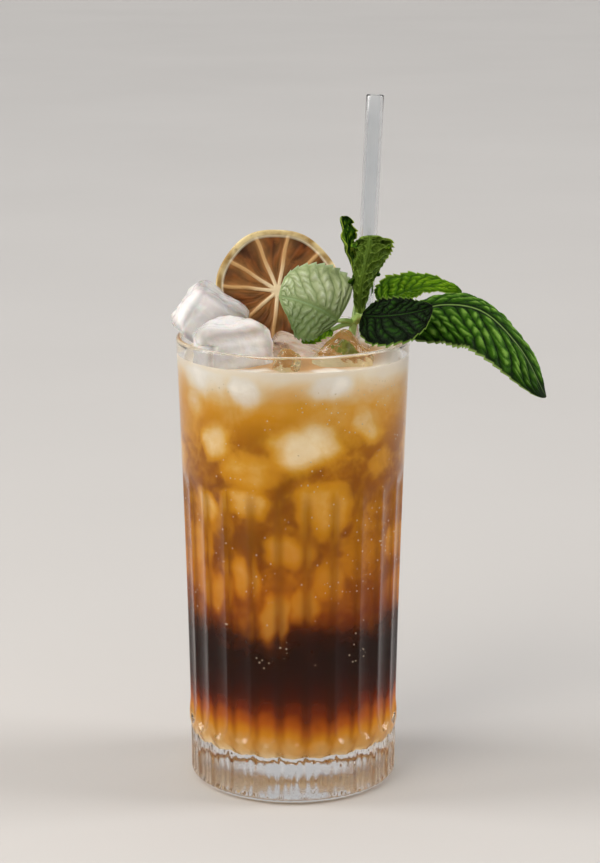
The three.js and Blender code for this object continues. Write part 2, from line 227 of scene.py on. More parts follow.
def room_light(tree):
    """A pale room with one tall, soft band of light far off on each side, which glints in glass and ice."""
    way = tree.split(tree.add("ShaderNodeTexCoord", out="Generated"))
    up = way.out("Z")
    aside = way.maths("ABSOLUTE", way) / from_axis(way)
    foot, full, thinning, top = SIDE_HEIGHT
    band = tree.rise(aside, *SIDE_EDGE) * tree.rise(up, foot, full) * tree.fall(up, thinning, top)
    values = {"Color": ROOM_COLOUR, "Strength": ROOM_LIGHT + band * SIDE_LIGHT}
    tree.add("ShaderNodeOutputWorld", values={"Surface": tree.add("ShaderNodeBackground", values=values)})


lamp("lamp_front", (-0.62, -0.76, 0.84), (0.8, 0.8), 9, "fff6ea")
lamp("lamp_over", (0.2, 0.6, 2.0), (2.4, 2.4), 6)
world = bpy.data.worlds.new("room")
room_light(empty_tree(world))
bpy.context.scene.world = world
bpy.context.scene.view_settings.view_transform = "Standard"
bpy.context.scene.cycles.max_bounces = CLEAR_BOUNCES
bpy.context.scene.cycles.transmission_bounces = CLEAR_BOUNCES
bpy.context.scene.cycles.transparent_max_bounces = SEE_THROUGH_BOUNCES


def table_look(tree):
    mottle = tree.noise(3, detail=4)
    shade = tree.mix("bab7b4", "c2bfbc", mottle)
    fine = tree.noise(900, detail=2)
    return tree.principled(
        Base_Color=shade, Roughness=0.8, Specular_IOR_Level=0.0, Normal=tree.bump(fine, TABLE_GRAIN, 0.3),
    )


table_mesh = bpy.data.meshes.new("table_top")
corners = [(-TABLE_REACH, -TABLE_REACH), (TABLE_REACH, -TABLE_REACH), (TABLE_REACH, TABLE_REACH)]
corners = [(x, y, -TABLE_DROP) for x, y in [*corners, (-TABLE_REACH, TABLE_REACH)]]
table_mesh.from_pydata(corners, [], [(0, 1, 2, 3)])
table_mesh.materials.append(look("table_top", table_look))
placed("table_top", table_mesh)

# Glass: a pressed tumbler of clear glass, 157 mm high, that narrows to a thick base. 24 shallow flutes run up
# the outside from an arched foot to a plain band under the rim, whose lip is fire polished.
GLASS_HEIGHT = 157 * MM
RIM_RADIUS = 40 * MM
BASE_RADIUS = 36 * MM
TAPER_POWER = 1.5
RIM_WALL = 2 * MM
GLASS_IOR = 1.5
FLOOR_HEIGHT = 15.5 * MM
FLOOR_RADIUS = 32 * MM
FLOOR_FILLET = 6 * MM
WALL_POWER = 0.8
BASE_FILLET = 3.5 * MM
FLUTES = 24
STEPS_PER_FLUTE = 14
CORNER_STEPS = 6
FLUTE_SIZES = {
    "Flutes": FLUTES, "Depth": 1.1 * MM, "Top": 113 * MM, "Fade": 9 * MM, "Foot": 20 * MM, "Arch": 4 * MM,
    "Rise": 2.5 * MM, "Swell": 0.45 * MM, "Spread": 3 * MM, "Base Fade": 4 * MM, "Base Depth": 0.7 * MM,
    "Fillet": BASE_FILLET,
}
DRINK_LEVEL = 150.5 * MM
FINE_ROW = 0.7 * MM
COARSE_ROW = 5 * MM
FOOT_ROWS_END = 30 * MM
LIP_STEPS = 12
LINES_PER_FLUTE = 3
STIPPLE_HEIGHT = 0.4 * MM


def outer_radius(z):
    return BASE_RADIUS + (RIM_RADIUS - BASE_RADIUS) * (z / GLASS_HEIGHT) ** TAPER_POWER


def inner_radius(z):
    height = np.clip((z - FLOOR_HEIGHT) / (GLASS_HEIGHT - FLOOR_HEIGHT), 0, 1)
    return FLOOR_RADIUS + (RIM_RADIUS - RIM_WALL - FLOOR_RADIUS) * height ** WALL_POWER


def floor_corner(reach, steps=8):
    """Profile of the rounded corner between the floor and the wall inside, grown by a reach."""
    corner = inner_radius(FLOOR_HEIGHT + FLOOR_FILLET) + reach
    turns = np.linspace(math.pi / 2, 0, steps)
    return [
        (corner - FLOOR_FILLET * (1 - math.cos(a)), FLOOR_HEIGHT - reach + FLOOR_FILLET * (1 - math.sin(a)))
        for a in turns
    ]


def rows_between(low, high, step):
    return list(np.linspace(low, high, max(2, math.ceil((high - low) / step) + 1)))[:-1]


def skinned(name, rings, closed=False):
    """A mesh over rings of points. A ring of one point closes an end, and closed joins last to first."""
    points = []
    starts = []
    for ring in rings:
        starts.append((len(points), len(ring)))
        points.extend(ring)
    pairs = list(zip(starts, starts[1:]))
    if closed:
        pairs.append((starts[-1], starts[0]))
    faces = []
    for (low, low_count), (high, high_count) in pairs:
        count = max(low_count, high_count)
        for i in range(count):
            j = (i + 1) % count
            if low_count == 1:
                faces.append((low, high + j, high + i))
            elif high_count == 1:
                faces.append((low + i, low + j, high))
            else:
                faces.append((low + i, low + j, high + j, high + i))
    mesh = bpy.data.meshes.new(name)
    mesh.from_pydata(points, [], faces)
    mesh.shade_smooth()
    return mesh


def turned_rings(profile, count, turn=0.0):
    """Rings for skinned from a profile of (radius, height), with a single point on the axis."""
    angles = turn + np.arange(count) / count * 2 * math.pi
    rings = []
    for radius, height in profile:
        if radius < 1e-9:
            rings.append([(0, 0, height)])
        else:
            rings.append([(radius * math.cos(a), radius * math.sin(a), height) for a in angles])
    return rings


def node_group(name, sizes):
    """An empty Geometry Nodes tree with a geometry input and named sizes, and its Tree and input Wire."""
    group = bpy.data.node_groups.new(name, "GeometryNodeTree")
    group.interface.new_socket("Geometry", in_out="INPUT", socket_type="NodeSocketGeometry")
    group.interface.new_socket("Geometry", in_out="OUTPUT", socket_type="NodeSocketGeometry")
    for size in sizes:
        group.interface.new_socket(size, in_out="INPUT", socket_type="NodeSocketFloat")
    tree = Tree(group)
    return tree, tree.add("NodeGroupInput")


def close_group(tree, geometry, material):
    real = tree.add("GeometryNodeRealizeInstances", values={"Geometry": geometry})
    finished = tree.add("GeometryNodeSetMaterial", values={"Geometry": real, "Material": material})
    tree.add("NodeGroupOutput", values={"Geometry": finished})
    return tree.group


def evaluated_mesh(thing):
    graph = bpy.context.evaluated_depsgraph_get()
    return bpy.data.meshes.new_from_object(thing.evaluated_get(graph), depsgraph=graph)


def made_by(name, mesh, group, sizes):
    """The plain mesh object that a Geometry Nodes tree makes from another mesh."""
    source = placed(name + "_source", mesh)
    modifier = source.modifiers.new("shape", "NODES")
    modifier.node_group = group
    for item in group.interface.items_tree:
        if item.name in sizes:
            modifier[item.identifier] = float(sizes[item.name])
    made = evaluated_mesh(source)
    made.name = name
    source.modifiers.remove(modifier)
    bpy.data.objects.remove(source)
    return placed(name, made)


def give_marks(mesh, name, values):
    """Give each point of a mesh a number that a look or a Geometry Nodes tree reads by its name."""
    values = np.ascontiguousarray(values, np.float32)
    mesh.attributes.new(name, "FLOAT", "POINT").data.foreach_set("value", values)


def stand_in(thing, slot, *nodes):
    """Put a finished piece on the one body and hide the solids that it stands in for. Its slot is not used.
    """
    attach(thing, "root")
    if nodes:
        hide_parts(*nodes)


def angle_round(spot):
    """The angle of a split place round the upright axis."""
    return spot.maths("ARCTAN2", spot.out("Y"), spot)


def clear_glass_look(glint):
    """Clear pressed glass, streaked by the mould near the foot and stippled below.

    A glint of 0 takes the head-on reflections away where the drink wets the wall.
    """
    def make(tree):
        ripple = tree.noise(90, detail=2)
        spot = tree.split(tree.place())
        streaks = spot.maths("SINE", angle_round(spot) * (LINES_PER_FLUTE * FLUTES) + ripple * 9)
        foot = tree.fall(spot.out("Z"), FLOOR_HEIGHT, FLUTE_SIZES["Foot"])
        under = tree.fall(spot.out("Z"), 0.0, STIPPLE_HEIGHT)
        height = ripple * 0.12 + streaks * foot * 0.7 + tree.noise(1300, detail=1) * under * 0.6
        return tree.principled(
            Base_Color=tree.mix("f3f4f6", "fdfdfd", ripple), Roughness=0.01, IOR=GLASS_IOR,
            Transmission_Weight=1.0, Normal=tree.bump(height, 0.25 * MM, 0.5),
            Specular_Tint=(glint, glint, glint, 1),
        )
    return make


def flute_group(material):
    """Press the flutes into the outside of the blank, with their arched foot, its swell and the base."""
    tree, given = node_group("flutes", FLUTE_SIZES)
    size = {name: given.out(name) for name in FLUTE_SIZES}
    x = tree.split(tree.add("GeometryNodeInputPosition"))
    z = x.out("Z")
    place = angle_round(x) * size["Flutes"] / (2 * math.pi) + 0.5
    across = place.maths("FRACT", place) * 2 - 1
    hollow = 1 - across * across
    foot = size["Foot"] + size["Arch"] * across * across
    fade_in = tree.rise(size["Top"] - z, 0.0, size["Fade"])
    above_foot = tree.rise(z - foot, 0.0, size["Rise"])
    from_foot = (z - foot) / size["Spread"]
    swell = size["Swell"] * from_foot.maths("EXPONENT", from_foot * from_foot * -1)
    base_fade = tree.rise(foot - z, 0.0, size["Base Fade"]) * tree.rise(z, 0.0, size["Fillet"])
    depth = hollow * (size["Depth"] * fade_in * above_foot + size["Base Depth"] * base_fade) - swell
    outside = tree.add("GeometryNodeInputNamedAttribute", {"data_type": "FLOAT"}, {"Name": "outside"})
    inwards = tree.add("ShaderNodeCombineXYZ", values={"X": x, "Y": x.out("Y")})
    inwards = tree.add("ShaderNodeVectorMath", {"operation": "NORMALIZE"}, {0: inwards})
    values = {"Geometry": given.out("Geometry"), "Offset": tree.scaled(inwards, depth * outside * -1)}
    return close_group(tree, tree.add("GeometryNodeSetPosition", values=values), material)


def glass_blank():
    """The tumbler before its flutes, with an attribute that is 1 on the part of the wall that they are in."""
    profile = [(0, 0), (BASE_RADIUS - BASE_FILLET, 0)]
    for a in np.linspace(0, math.pi / 2, CORNER_STEPS)[1:-1]:
        profile.append((BASE_RADIUS - BASE_FILLET * (1 - math.sin(a)), BASE_FILLET * (1 - math.cos(a))))
    lip = RIM_WALL / 2
    fade_start = FLUTE_SIZES["Top"] - FLUTE_SIZES["Fade"]
    heights = rows_between(BASE_FILLET, FOOT_ROWS_END, FINE_ROW)
    heights += rows_between(FOOT_ROWS_END, fade_start, COARSE_ROW)
    heights += rows_between(fade_start, FLUTE_SIZES["Top"], FINE_ROW)
    heights += rows_between(FLUTE_SIZES["Top"], GLASS_HEIGHT - lip, COARSE_ROW)
    first = len(profile)
    profile += [(outer_radius(z), z) for z in heights]
    last = len(profile)
    for a in np.linspace(0, math.pi, LIP_STEPS):
        profile.append((RIM_RADIUS - lip + lip * math.cos(a), GLASS_HEIGHT - lip + lip * math.sin(a)))
    inside = rows_between(FLOOR_HEIGHT + FLOOR_FILLET, GLASS_HEIGHT - lip, COARSE_ROW)
    profile += [(inner_radius(z), z) for z in reversed(inside[1:])]
    profile += floor_corner(0)[::-1]
    profile.append((0, FLOOR_HEIGHT))
    columns = FLUTES * STEPS_PER_FLUTE
    mesh = skinned("glass_blank", turned_rings(profile, columns, math.pi / FLUTES))
    outside = np.zeros(len(mesh.vertices), np.float32)
    outside[1 + (first - 1) * columns:1 + (last - 1) * columns] = 1
    give_marks(mesh, "outside", outside)
    return mesh


clear_glass = look("clear_glass", clear_glass_look(0.3))
glass = made_by("tumbler", glass_blank(), flute_group(clear_glass), FLUTE_SIZES)
glass.data.materials.append(look("wetted_glass", clear_glass_look(0)))
for face in glass.data.polygons:
    radius = math.hypot(face.center.x, face.center.y)
    wetted = FLOOR_HEIGHT - MM < face.center.z < DRINK_LEVEL and radius < inner_radius(face.center.z) + MM / 2
    face.material_index = int(wetted)
stand_in(glass, "clear_glass", "glass")

# Ice: half melted freezer cubes, wet and rounded, white with trapped air on the left and clear on the right.
# They fill the glass and poke out of the drink, wedged against each other and the wall. Middles and half
# sizes are in mm and turns in degrees.
ICE = {
    "ice_left_top": {"at": (-27.6, 1, 162.2), "half": (11.6, 9.4, 9.8), "turn": (6, 34, 12), "seed": 1},
    "ice_left_front": {"at": (-20, -16.5, 151.8), "half": (12.4, 9.6, 13.4), "turn": (4, -8, 16), "seed": 2},
    "ice_middle": {"at": (1.6, 0.6, 147.2), "half": (11.4, 8, 8.6), "turn": (0, 16, -8), "seed": 3},
    "ice_right_front": {"at": (16.6, -17.6, 151), "half": (8.2, 6.4, 8.8), "turn": (6, 44, 10), "seed": 4},
    "ice_front_chip": {"at": (-2, -28, 151.2), "half": (3.4, 3.8, 6), "turn": (10, 12, 30), "seed": 5},
    "ice_back_left": {"at": (-13, 26, 146), "half": (11, 7.5, 9.5), "turn": (8, 6, 16), "seed": 6},
    "ice_back_right": {"at": (12, 25, 145), "half": (9.5, 8, 9), "turn": (-6, 12, -14), "seed": 7},
}
ICE_SQUARENESS = 4.5
ICE_LUMPS = 0.06
ICE_DIMPLES = 0.012
ICE_STEPS = 40
ICE_FACETS = 16
FACET_DEPTH = (0.02, 0.1)
FACET_FLATNESS = 0.75
ICE_TOUCH = 0.06 * MM
WALL_CLEARANCE = 0.6 * MM
RIM_CLEARANCE = 1.5 * MM
CREASE_DEG = 42
THIN_FROM = 0.55
CLEAR_EDGES = 0.65
ICE_IOR = 1.31


def cube_skin(steps):
    """Unit directions and faces of a cube's skin, with steps by steps faces to a side."""
    shape = bmesh.new()
    bmesh.ops.create_cube(shape, size=2)
    bmesh.ops.subdivide_edges(shape, edges=shape.edges[:], cuts=steps - 1, use_grid_fill=True)
    shape.verts.index_update()
    points = np.array([v.co for v in shape.verts])
    faces = [tuple(v.index for v in face.verts) for face in shape.faces]
    shape.free()
    return points / np.linalg.norm(points, axis=1, keepdims=True), faces


def lump(directions, seed, squareness, lumps, dimples=0.0):
    """Directions pushed out to a rounded box with half sizes of 1 and an uneven, melted skin."""
    x, y, z = directions.T
    reach = (np.abs(directions) ** squareness).sum(1) ** (-1 / squareness)
    waves = np.sin(5 * x + 7 * seed) * np.sin(4 * y + 3 * seed)
    waves += np.sin(6 * z + 5 * seed) * np.cos(3 * x + seed)
    fine = np.sin(17 * x + 11 * seed) * np.sin(19 * y + 5 * z) + np.sin(23 * z + 13 * y + seed)
    return directions * (reach * (1 + lumps * waves + dimples * fine))[:, None]


def eased(value):
    """A smooth step: 0 for values up to 0, and 1 for values from 1 on."""
    clipped = np.clip(value, 0, 1)
    return clipped * clipped * (3 - 2 * clipped)


def unit(vectors):
    return vectors / np.linalg.norm(vectors, axis=-1, keepdims=True)


def chipped(points, seed):
    """A lump with flat faces struck off it, as where a cube broke from its neighbours."""
    dice = np.random.default_rng(seed)
    facings = unit(dice.normal(size=(ICE_FACETS, 3)))
    for facing, depth in zip(facings, dice.uniform(*FACET_DEPTH, ICE_FACETS)):
        level = points @ facing
        over = np.maximum(level - level.max() * (1 - depth), 0) * FACET_FLATNESS
        points = points - over[:, None] * facing
    return points


def turn_matrix(turn_deg):
    return np.array(Euler([math.radians(angle) for angle in turn_deg], "XYZ").to_matrix())


def turned_points(points, turn_deg, at):
    return points @ turn_matrix(turn_deg).T + np.array(at)


def inside_glass(points, gap):
    """The points below the rim, drawn in to keep a gap to the wall."""
    radius = np.hypot(points[:, 0], points[:, 1])
    limit = inner_radius(np.minimum(points[:, 2], GLASS_HEIGHT)) - gap
    outside = (points[:, 2] < GLASS_HEIGHT + RIM_CLEARANCE) & (radius > limit)
    points[:, :2] *= np.where(outside, limit / radius, 1)[:, None]
    return points


def ice_points(directions, shape, grown):
    """The skin of one cube in its place, grown all round by a small length."""
    half = np.array(shape["half"]) * MM + grown
    points = lump(directions, shape["seed"], ICE_SQUARENESS, ICE_LUMPS, ICE_DIMPLES)
    points = turned_points(chipped(points, shape["seed"]) * half, shape["turn"], np.array(shape["at"]) * MM)
    return inside_glass(points, WALL_CLEARANCE - grown)


def plain_mesh(name, points, faces):
    mesh = bpy.data.meshes.new(name)
    mesh.from_pydata(points.tolist(), [], faces)
    mesh.shade_smooth()
    return mesh


def cut(mesh, cutters):
    """The mesh with the cutter meshes taken out of it, and its new edges left sharp."""
    source = placed("cut_source", mesh)
    tools = [placed("cutter", cutter) for cutter in cutters]
    for tool in tools:
        modifier = source.modifiers.new("cut", "BOOLEAN")
        modifier.operation = "DIFFERENCE"
        modifier.solver = "MANIFOLD"
        modifier.object = tool
    made = evaluated_mesh(source)
    for thing in [source, *tools]:
        bpy.data.objects.remove(thing)
    made.materials.clear()
    made.shade_smooth()
    made.set_sharp_from_angle(angle=math.radians(CREASE_DEG))
    return made


def mark(tree, name):
    """What give_marks gave a mesh under a name."""
    return tree.add("ShaderNodeAttribute", {"attribute_name": name}, out="Fac")


def ice_look(cloud, cracked, shadow, white, clear):
    """Ice that is cloudy in the middle and clearer along its thin edges, with a wet, lightly dimpled skin.

    cloud and cracked, from 0 to 1, say how much of it is cloudy and how far its cracks show. The cloudy part
    is coloured from shadow to white.
    """
    def make(tree):
        patches = tree.noise(95, detail=4, rough=0.6, twist=0.8)
        haze = tree.rise(patches + (cloud - 0.5), 0.3, 0.6)
        cracks = tree.add("ShaderNodeTexVoronoi", {"feature": "DISTANCE_TO_EDGE"},
                          {"Vector": tree.place(), "Scale": 120, "Randomness": 1.0})
        crack = tree.fall(cracks, 0.0, 0.07)
        haze = haze.maths("MAXIMUM", haze, crack * cracked) * (1 - mark(tree, "thin") * CLEAR_EDGES)
        skin = tree.noise(170, detail=4, rough=0.6) + tree.noise(800, detail=2) * 0.1
        dimples = tree.bump(skin, 0.8 * MM, 0.7)
        shade = tree.mix(shadow, white, tree.rise(patches + crack * 0.15, 0.2, 0.7))
        air = tree.principled(
            Base_Color=shade, Roughness=0.14, IOR=ICE_IOR, Subsurface_Weight=0.3, Subsurface_Scale=4 * MM,
            Transmission_Weight=0.3, Normal=dimples,
        )
        water = tree.principled(
            Base_Color=colour(clear), Roughness=0.06, IOR=ICE_IOR, Transmission_Weight=1.0, Normal=dimples,
        )
        return tree.blend(water, air, haze)
    return make


frosted_ice = look("frosted_ice", ice_look(0.8, 0.04, "dbdadc", "e9e7e6", "fafafc"))
hazy_ice = look("hazy_ice", ice_look(0.55, 0.12, "ccb8ae", "e6d6cc", "f2e6dc"))
glassy_ice = look("glassy_ice", ice_look(0.22, 0.12, "b0a690", "f4ead8", "d8c896"))
ICE_LOOKS = {
    "ice_left_top": frosted_ice, "ice_left_front": frosted_ice, "ice_middle": hazy_ice,
    "ice_right_front": glassy_ice, "ice_front_chip": glassy_ice, "ice_back_left": frosted_ice,
    "ice_back_right": hazy_ice,
}
ice_directions, ice_faces = cube_skin(ICE_STEPS)
across_face = np.sort(np.abs(ice_directions), axis=1)
thin = eased((across_face[:, 1] / across_face[:, 2] - THIN_FROM) / (1 - THIN_FROM))
before = []
for node, shape in ICE.items():
    block = plain_mesh(node, ice_points(ice_directions, shape, 0), ice_faces)
    give_marks(block, "thin", thin)
    grown = [plain_mesh("grown", ice_points(ice_directions, other, ICE_TOUCH), ice_faces) for other in before]
    before.append(shape)
    block = cut(block, grown)
    block.materials.append(ICE_LOOKS[node])
    stand_in(placed(node + "_block", block), "ice", node)

# Drink: tea and spirits poured over ice, nearly black low down where the cola sank, amber above it, and milky
# with melt water and foam at the top. It fills the glass up to its wall and climbs a little at the edge. Its
# piece is made at the end of the next section, because its look shows where the sunk ice lies.
WALL_OVERLAP = 0.12 * MM
MENISCUS = 0.9 * MM
MENISCUS_REACH = 2.2 * MM
MENISCUS_STEPS = 7
TOP_RINGS = 16
TOP_RINGS_REACH = (0.92, 0.04)
DRINK_COLUMNS = 360
DRINK_ROW = 1.2 * MM
DRINK_STOPS = [
    (15, "fff4e0"), (20, "f8d8a0"), (25, "e0962c"), (31, "8a3c08"), (38, "3c1204"), (46, "260800"),
    (58, "300c00"), (64, "8c4a10"), (72, "c88028"), (90, "d89638"), (112, "e0a448"), (130, "ecc078"),
    (147, "faeedc"),
]
# The lowest cloud stops, cream to gold up to 24 mm, are painted light: the glow of light from the table and
# the room that the thick base bends into the drink.
CLOUD_STOPS = [
    (15, "e8d0a8", 0.8), (17.5, "e4c088", 0.6), (19, "e4ae62", 0.45), (24, "dc8e0e", 0.55),
    (28, "b4560a", 0.6), (33, "641e02", 0.65), (38, "380e00", 0.68), (45, "240800", 0.68),
    (54, "220800", 0.68), (60, "3c1200", 0.68), (66, "7c3200", 0.7), (74, "a85c04", 0.72),
    (90, "b46e04", 0.74), (112, "b87606", 0.74), (128, "be800a", 0.76), (135, "c4880e", 0.76),
    (140, "c4902e", 0.8), (144, "c69c5e", 0.82), (147, "d0b88e", 0.84), (149, "d4c8b2", 0.84),
    (152, "d6cec0", 0.84),
]
GLOW_STOPS = [
    (50, "5a2400"), (57, "a8661a"), (62, "c8862e"), (72, "d3952a"), (90, "d49842"), (104, "e2b662"),
    (122, "e8d09a"), (134, "dcd0ae"), (140, "d2cdc2"), (148, "d2cfc8"),
]
GOLD_STOPS = [
    (50, "3c1400"), (58, "8a4404"), (64, "b4680a"), (72, "c67a0c"), (90, "c88810"), (110, "ce9418"),
    (128, "d0a034"), (138, "cba766"), (144, "cbb68c"), (149, "d2c8b4"),
]
DRINK_TOP_STOP = 152
DRINK_IOR = 1.33
AMBER = (0.887, 0.645, 0.0, 1)
ABSORPTION = 45
# Painted light: the cloudy skin glows by this much of its own colour, for light that shines through the drink
# from behind and beside it.
PAINTED_CLOUD_GLOW = 0.42
SWIRL = 10 * MM
# FLAME bends the colour bands up under each flute ridge low down: painted streaks for the light that the
# flutes bend like lenses.
FLAME = 2.4 * MM
FLAME_LEVELS = (40 * MM, 75 * MM)
WISPS, SPECKS, DRIFT = 0.42, 0.16, 0.4
GAP_COLOUR = "5c1e00"
GAP_SHARE = 0.62
GAP_BEGINS = (62 * MM, 80 * MM)
GAP_ENDS = (118 * MM, 140 * MM)
GOLD_ICE = (-0.02, 0.6)
GLOW_ICE = (0.35, 1.0)
WHITE_ICE = (0.75, 1.2)
WHITE_COLOUR = "f6f0e2"
WHITE_LEVELS = (60 * MM, 125 * MM)
POOL_COLOUR = "a8742c"
POOL_DEPTHS = (DRINK_LEVEL - 0.5 * MM, DRINK_LEVEL - 0.1 * MM)
POOL_EDGE = (28 * MM, 36 * MM)
# Painted shade: dark lines in the drink under each flute ridge, for the way the flutes bend the light.
RIDGE_SHADE_COLOUR = "1c0800"
RIDGE_SHADE_SHARE = 0.3


def level_colours(tree, height, stops):
    """A colour that changes up the drink. A stop is a level in mm, a colour and, for cloud, its share."""
    ramp = [(level / DRINK_TOP_STOP, (*colour(code)[:3], *(share or [1]))) for level, code, *share in stops]
    return tree.add("ShaderNodeValToRGB", {"stops": ramp}, {"Fac": height})


def drink_look(tree):
    """Clear drink under a cloudy skin that glows with painted light, dark in the gaps and gold, pale or white
    where ice lies behind it.
    """
    spot = tree.split(tree.place())
    z = spot.out("Z")
    swirl = tree.noise(38, detail=3, rough=0.55, twist=0.8)
    ridge = 0.5 - spot.maths("COSINE", angle_round(spot) * FLUTES) * 0.5
    ridge = ridge ** 3 * tree.fall(z, FLUTE_SIZES["Top"] - FLUTE_SIZES["Fade"], FLUTE_SIZES["Top"])
    flame = ridge * tree.fall(z, *FLAME_LEVELS) * FLAME
    height = (z + flame + (swirl - 0.5) * SWIRL) / (DRINK_TOP_STOP * MM)
    clear = tree.principled(
        Base_Color=level_colours(tree, height, DRINK_STOPS), Roughness=0.1, IOR=DRINK_IOR,
        Transmission_Weight=1.0, Specular_Tint=(0, 0, 0, 1),
    )
    cloud = level_colours(tree, height, CLOUD_STOPS)
    wisps = tree.noise(120, detail=3, rough=0.6, twist=1.0)
    fine = tree.noise(420, detail=2)
    uneven = (wisps - 0.5) * WISPS + (fine - 0.5) * SPECKS + (swirl - 0.5) * DRIFT
    ice = mark(tree, "ice_behind") + uneven
    gap = tree.fall(ice, 0.0, 0.32) * tree.rise(z, *GAP_BEGINS) * tree.fall(z, *GAP_ENDS)
    shade = tree.mix(cloud, GAP_COLOUR, gap * GAP_SHARE)
    shade = tree.mix(shade, level_colours(tree, height, GOLD_STOPS), tree.rise(ice, *GOLD_ICE))
    shade = tree.mix(shade, level_colours(tree, height, GLOW_STOPS), tree.rise(ice, *GLOW_ICE))
    white = tree.rise(ice, *WHITE_ICE) * tree.rise(z, *WHITE_LEVELS)
    shade = tree.mix(shade, WHITE_COLOUR, white * 0.5)
    pool = tree.rise(z, *POOL_DEPTHS) * tree.fall(from_axis(spot), *POOL_EDGE)
    shade = tree.mix(shade, POOL_COLOUR, pool * (1 - tree.rise(ice, 0.3, 1.1) * 0.6) * 0.8)
    # Painted light and shade of the flutes as lenses: under each ridge the ice glow is taken back and a dark
    # line laid on.
    shade = tree.mix(shade, cloud, ridge * 0.4)
    shade = tree.mix(shade, RIDGE_SHADE_COLOUR, ridge * RIDGE_SHADE_SHARE)
    # The emission is painted light, a glow for light that shines through the cloudy drink.
    milky = tree.principled(
        Base_Color=shade, Roughness=0.5, IOR=DRINK_IOR, Specular_IOR_Level=0.0, Emission_Color=shade,
        Emission_Strength=PAINTED_CLOUD_GLOW,
    )
    depth = tree.add("ShaderNodeVolumeAbsorption", values={"Color": AMBER, "Density": ABSORPTION})
    return tree.blend(clear, milky, cloud.out("Alpha")), depth


def drink_blank():
    """The drink before the ice is cut out of it, with a flat top that curls up where it meets the wall."""
    profile = [(0, FLOOR_HEIGHT - WALL_OVERLAP), *floor_corner(WALL_OVERLAP)]
    heights = rows_between(FLOOR_HEIGHT + FLOOR_FILLET, DRINK_LEVEL, DRINK_ROW)[1:]
    profile += [(inner_radius(z) + WALL_OVERLAP, z) for z in heights]
    edge = inner_radius(DRINK_LEVEL) + WALL_OVERLAP
    profile.append((edge, DRINK_LEVEL + MENISCUS))
    for step in np.linspace(0, 1, MENISCUS_STEPS)[1:]:
        profile.append((edge - MENISCUS_REACH * step, DRINK_LEVEL + MENISCUS * (1 - step) ** 2.5))
    profile += [(edge * share, DRINK_LEVEL) for share in np.linspace(*TOP_RINGS_REACH, TOP_RINGS)]
    profile.append((0, DRINK_LEVEL))
    return skinned("drink_blank", turned_rings(profile, DRINK_COLUMNS))


# Sunk ice: more cubes below, melted to soft cloudy lumps that show through the drink. Those near the front
# are given by their place as it shows on the wall, their half sizes and how brightly they show. The rest fill
# the glass behind them without touching the straw. A length without MM is in mm.
SUNK_FRONT = [
    (-14.9, 145.3, (8.4, 2.8, 6), 1.15), (12.6, 146.4, (8, 3, 6), 1.15), (3.6, 126, (12.4, 6, 8.6), 1.2),
    (-24.6, 126.4, (7.4, 5, 6.2), 0.95), (-15.2, 106, (8.4, 6, 5), 1), (11.3, 105.5, (11.5, 7, 10.5), 0.75),
    (-1, 89.5, (8, 6, 5.6), 0.75), (11, 77.5, (7, 6, 7), 0.6), (-17.9, 79.5, (5.6, 6, 9), 0.85),
    (-7.8, 67, (4.8, 5, 9), 1.1), (2.8, 70, (5.6, 6, 7), 0.8), (24.5, 132, (5.6, 6, 7), 0.8),
    (-31, 139, (4.4, 5, 6), 0.8), (-32, 88, (4, 5, 9), 0.7), (-28.6, 102, (4.4, 5, 6), 0.8),
    (-26, 73, (5, 5, 7), 0.7), (29, 118, (4, 5, 6), 0.5),
]
FRONT_REACH = 36.5
FRONT_GAP = 2.2
SUNK_RANDOM = 60
SUNK_TRIES = 6000
SUNK_BRIGHTNESS = (0.25, 0.7)
POKING_BRIGHTNESS = 0.9
SUNK_SEED = 11
SUNK_ROOM = 0.84
STRAW_ROOM = 2
NEAR_WALL = 0.3
SUNK_LOW = 62
SUNK_HIGH = 139
SUNK_HALF = (6.5, 10)
SUNK_STEPS = 9
SUNK_WALL_GAP = 1.8 * MM
SUNK_TOP = DRINK_LEVEL - 0.8 * MM
SUNK_SQUARENESS = 3.2
SUNK_LUMPS = 0.07
SOFT_EDGE = (1.05, 1.5)
SOFT_SQUARENESS = 2.3
CLEAR_DEPTH = 10
FLUTE_LENS = 0.5
STRAW_FOOT = Vector((18.4, 8, 17.6)) * MM
STRAW_TOP = Vector((27.9, 12, 237.6)) * MM


def sunk_tilt(index):
    """The way a lump lies, in degrees, so that no two look alike."""
    return 23 * math.sin(index), 19 * math.cos(2 * index), 25 * math.sin(3 * index)


def front_lump(across, height, size, bright):
    """A lump close behind the front wall, from its place and its size as they show on that wall."""
    width, depth, tall = size
    share = 1 - (depth + FRONT_GAP) / FRONT_REACH
    forward = -math.sqrt(FRONT_REACH ** 2 - across ** 2)
    return np.array([across * share, forward * share, height]), np.array([width * share, depth, tall]), bright


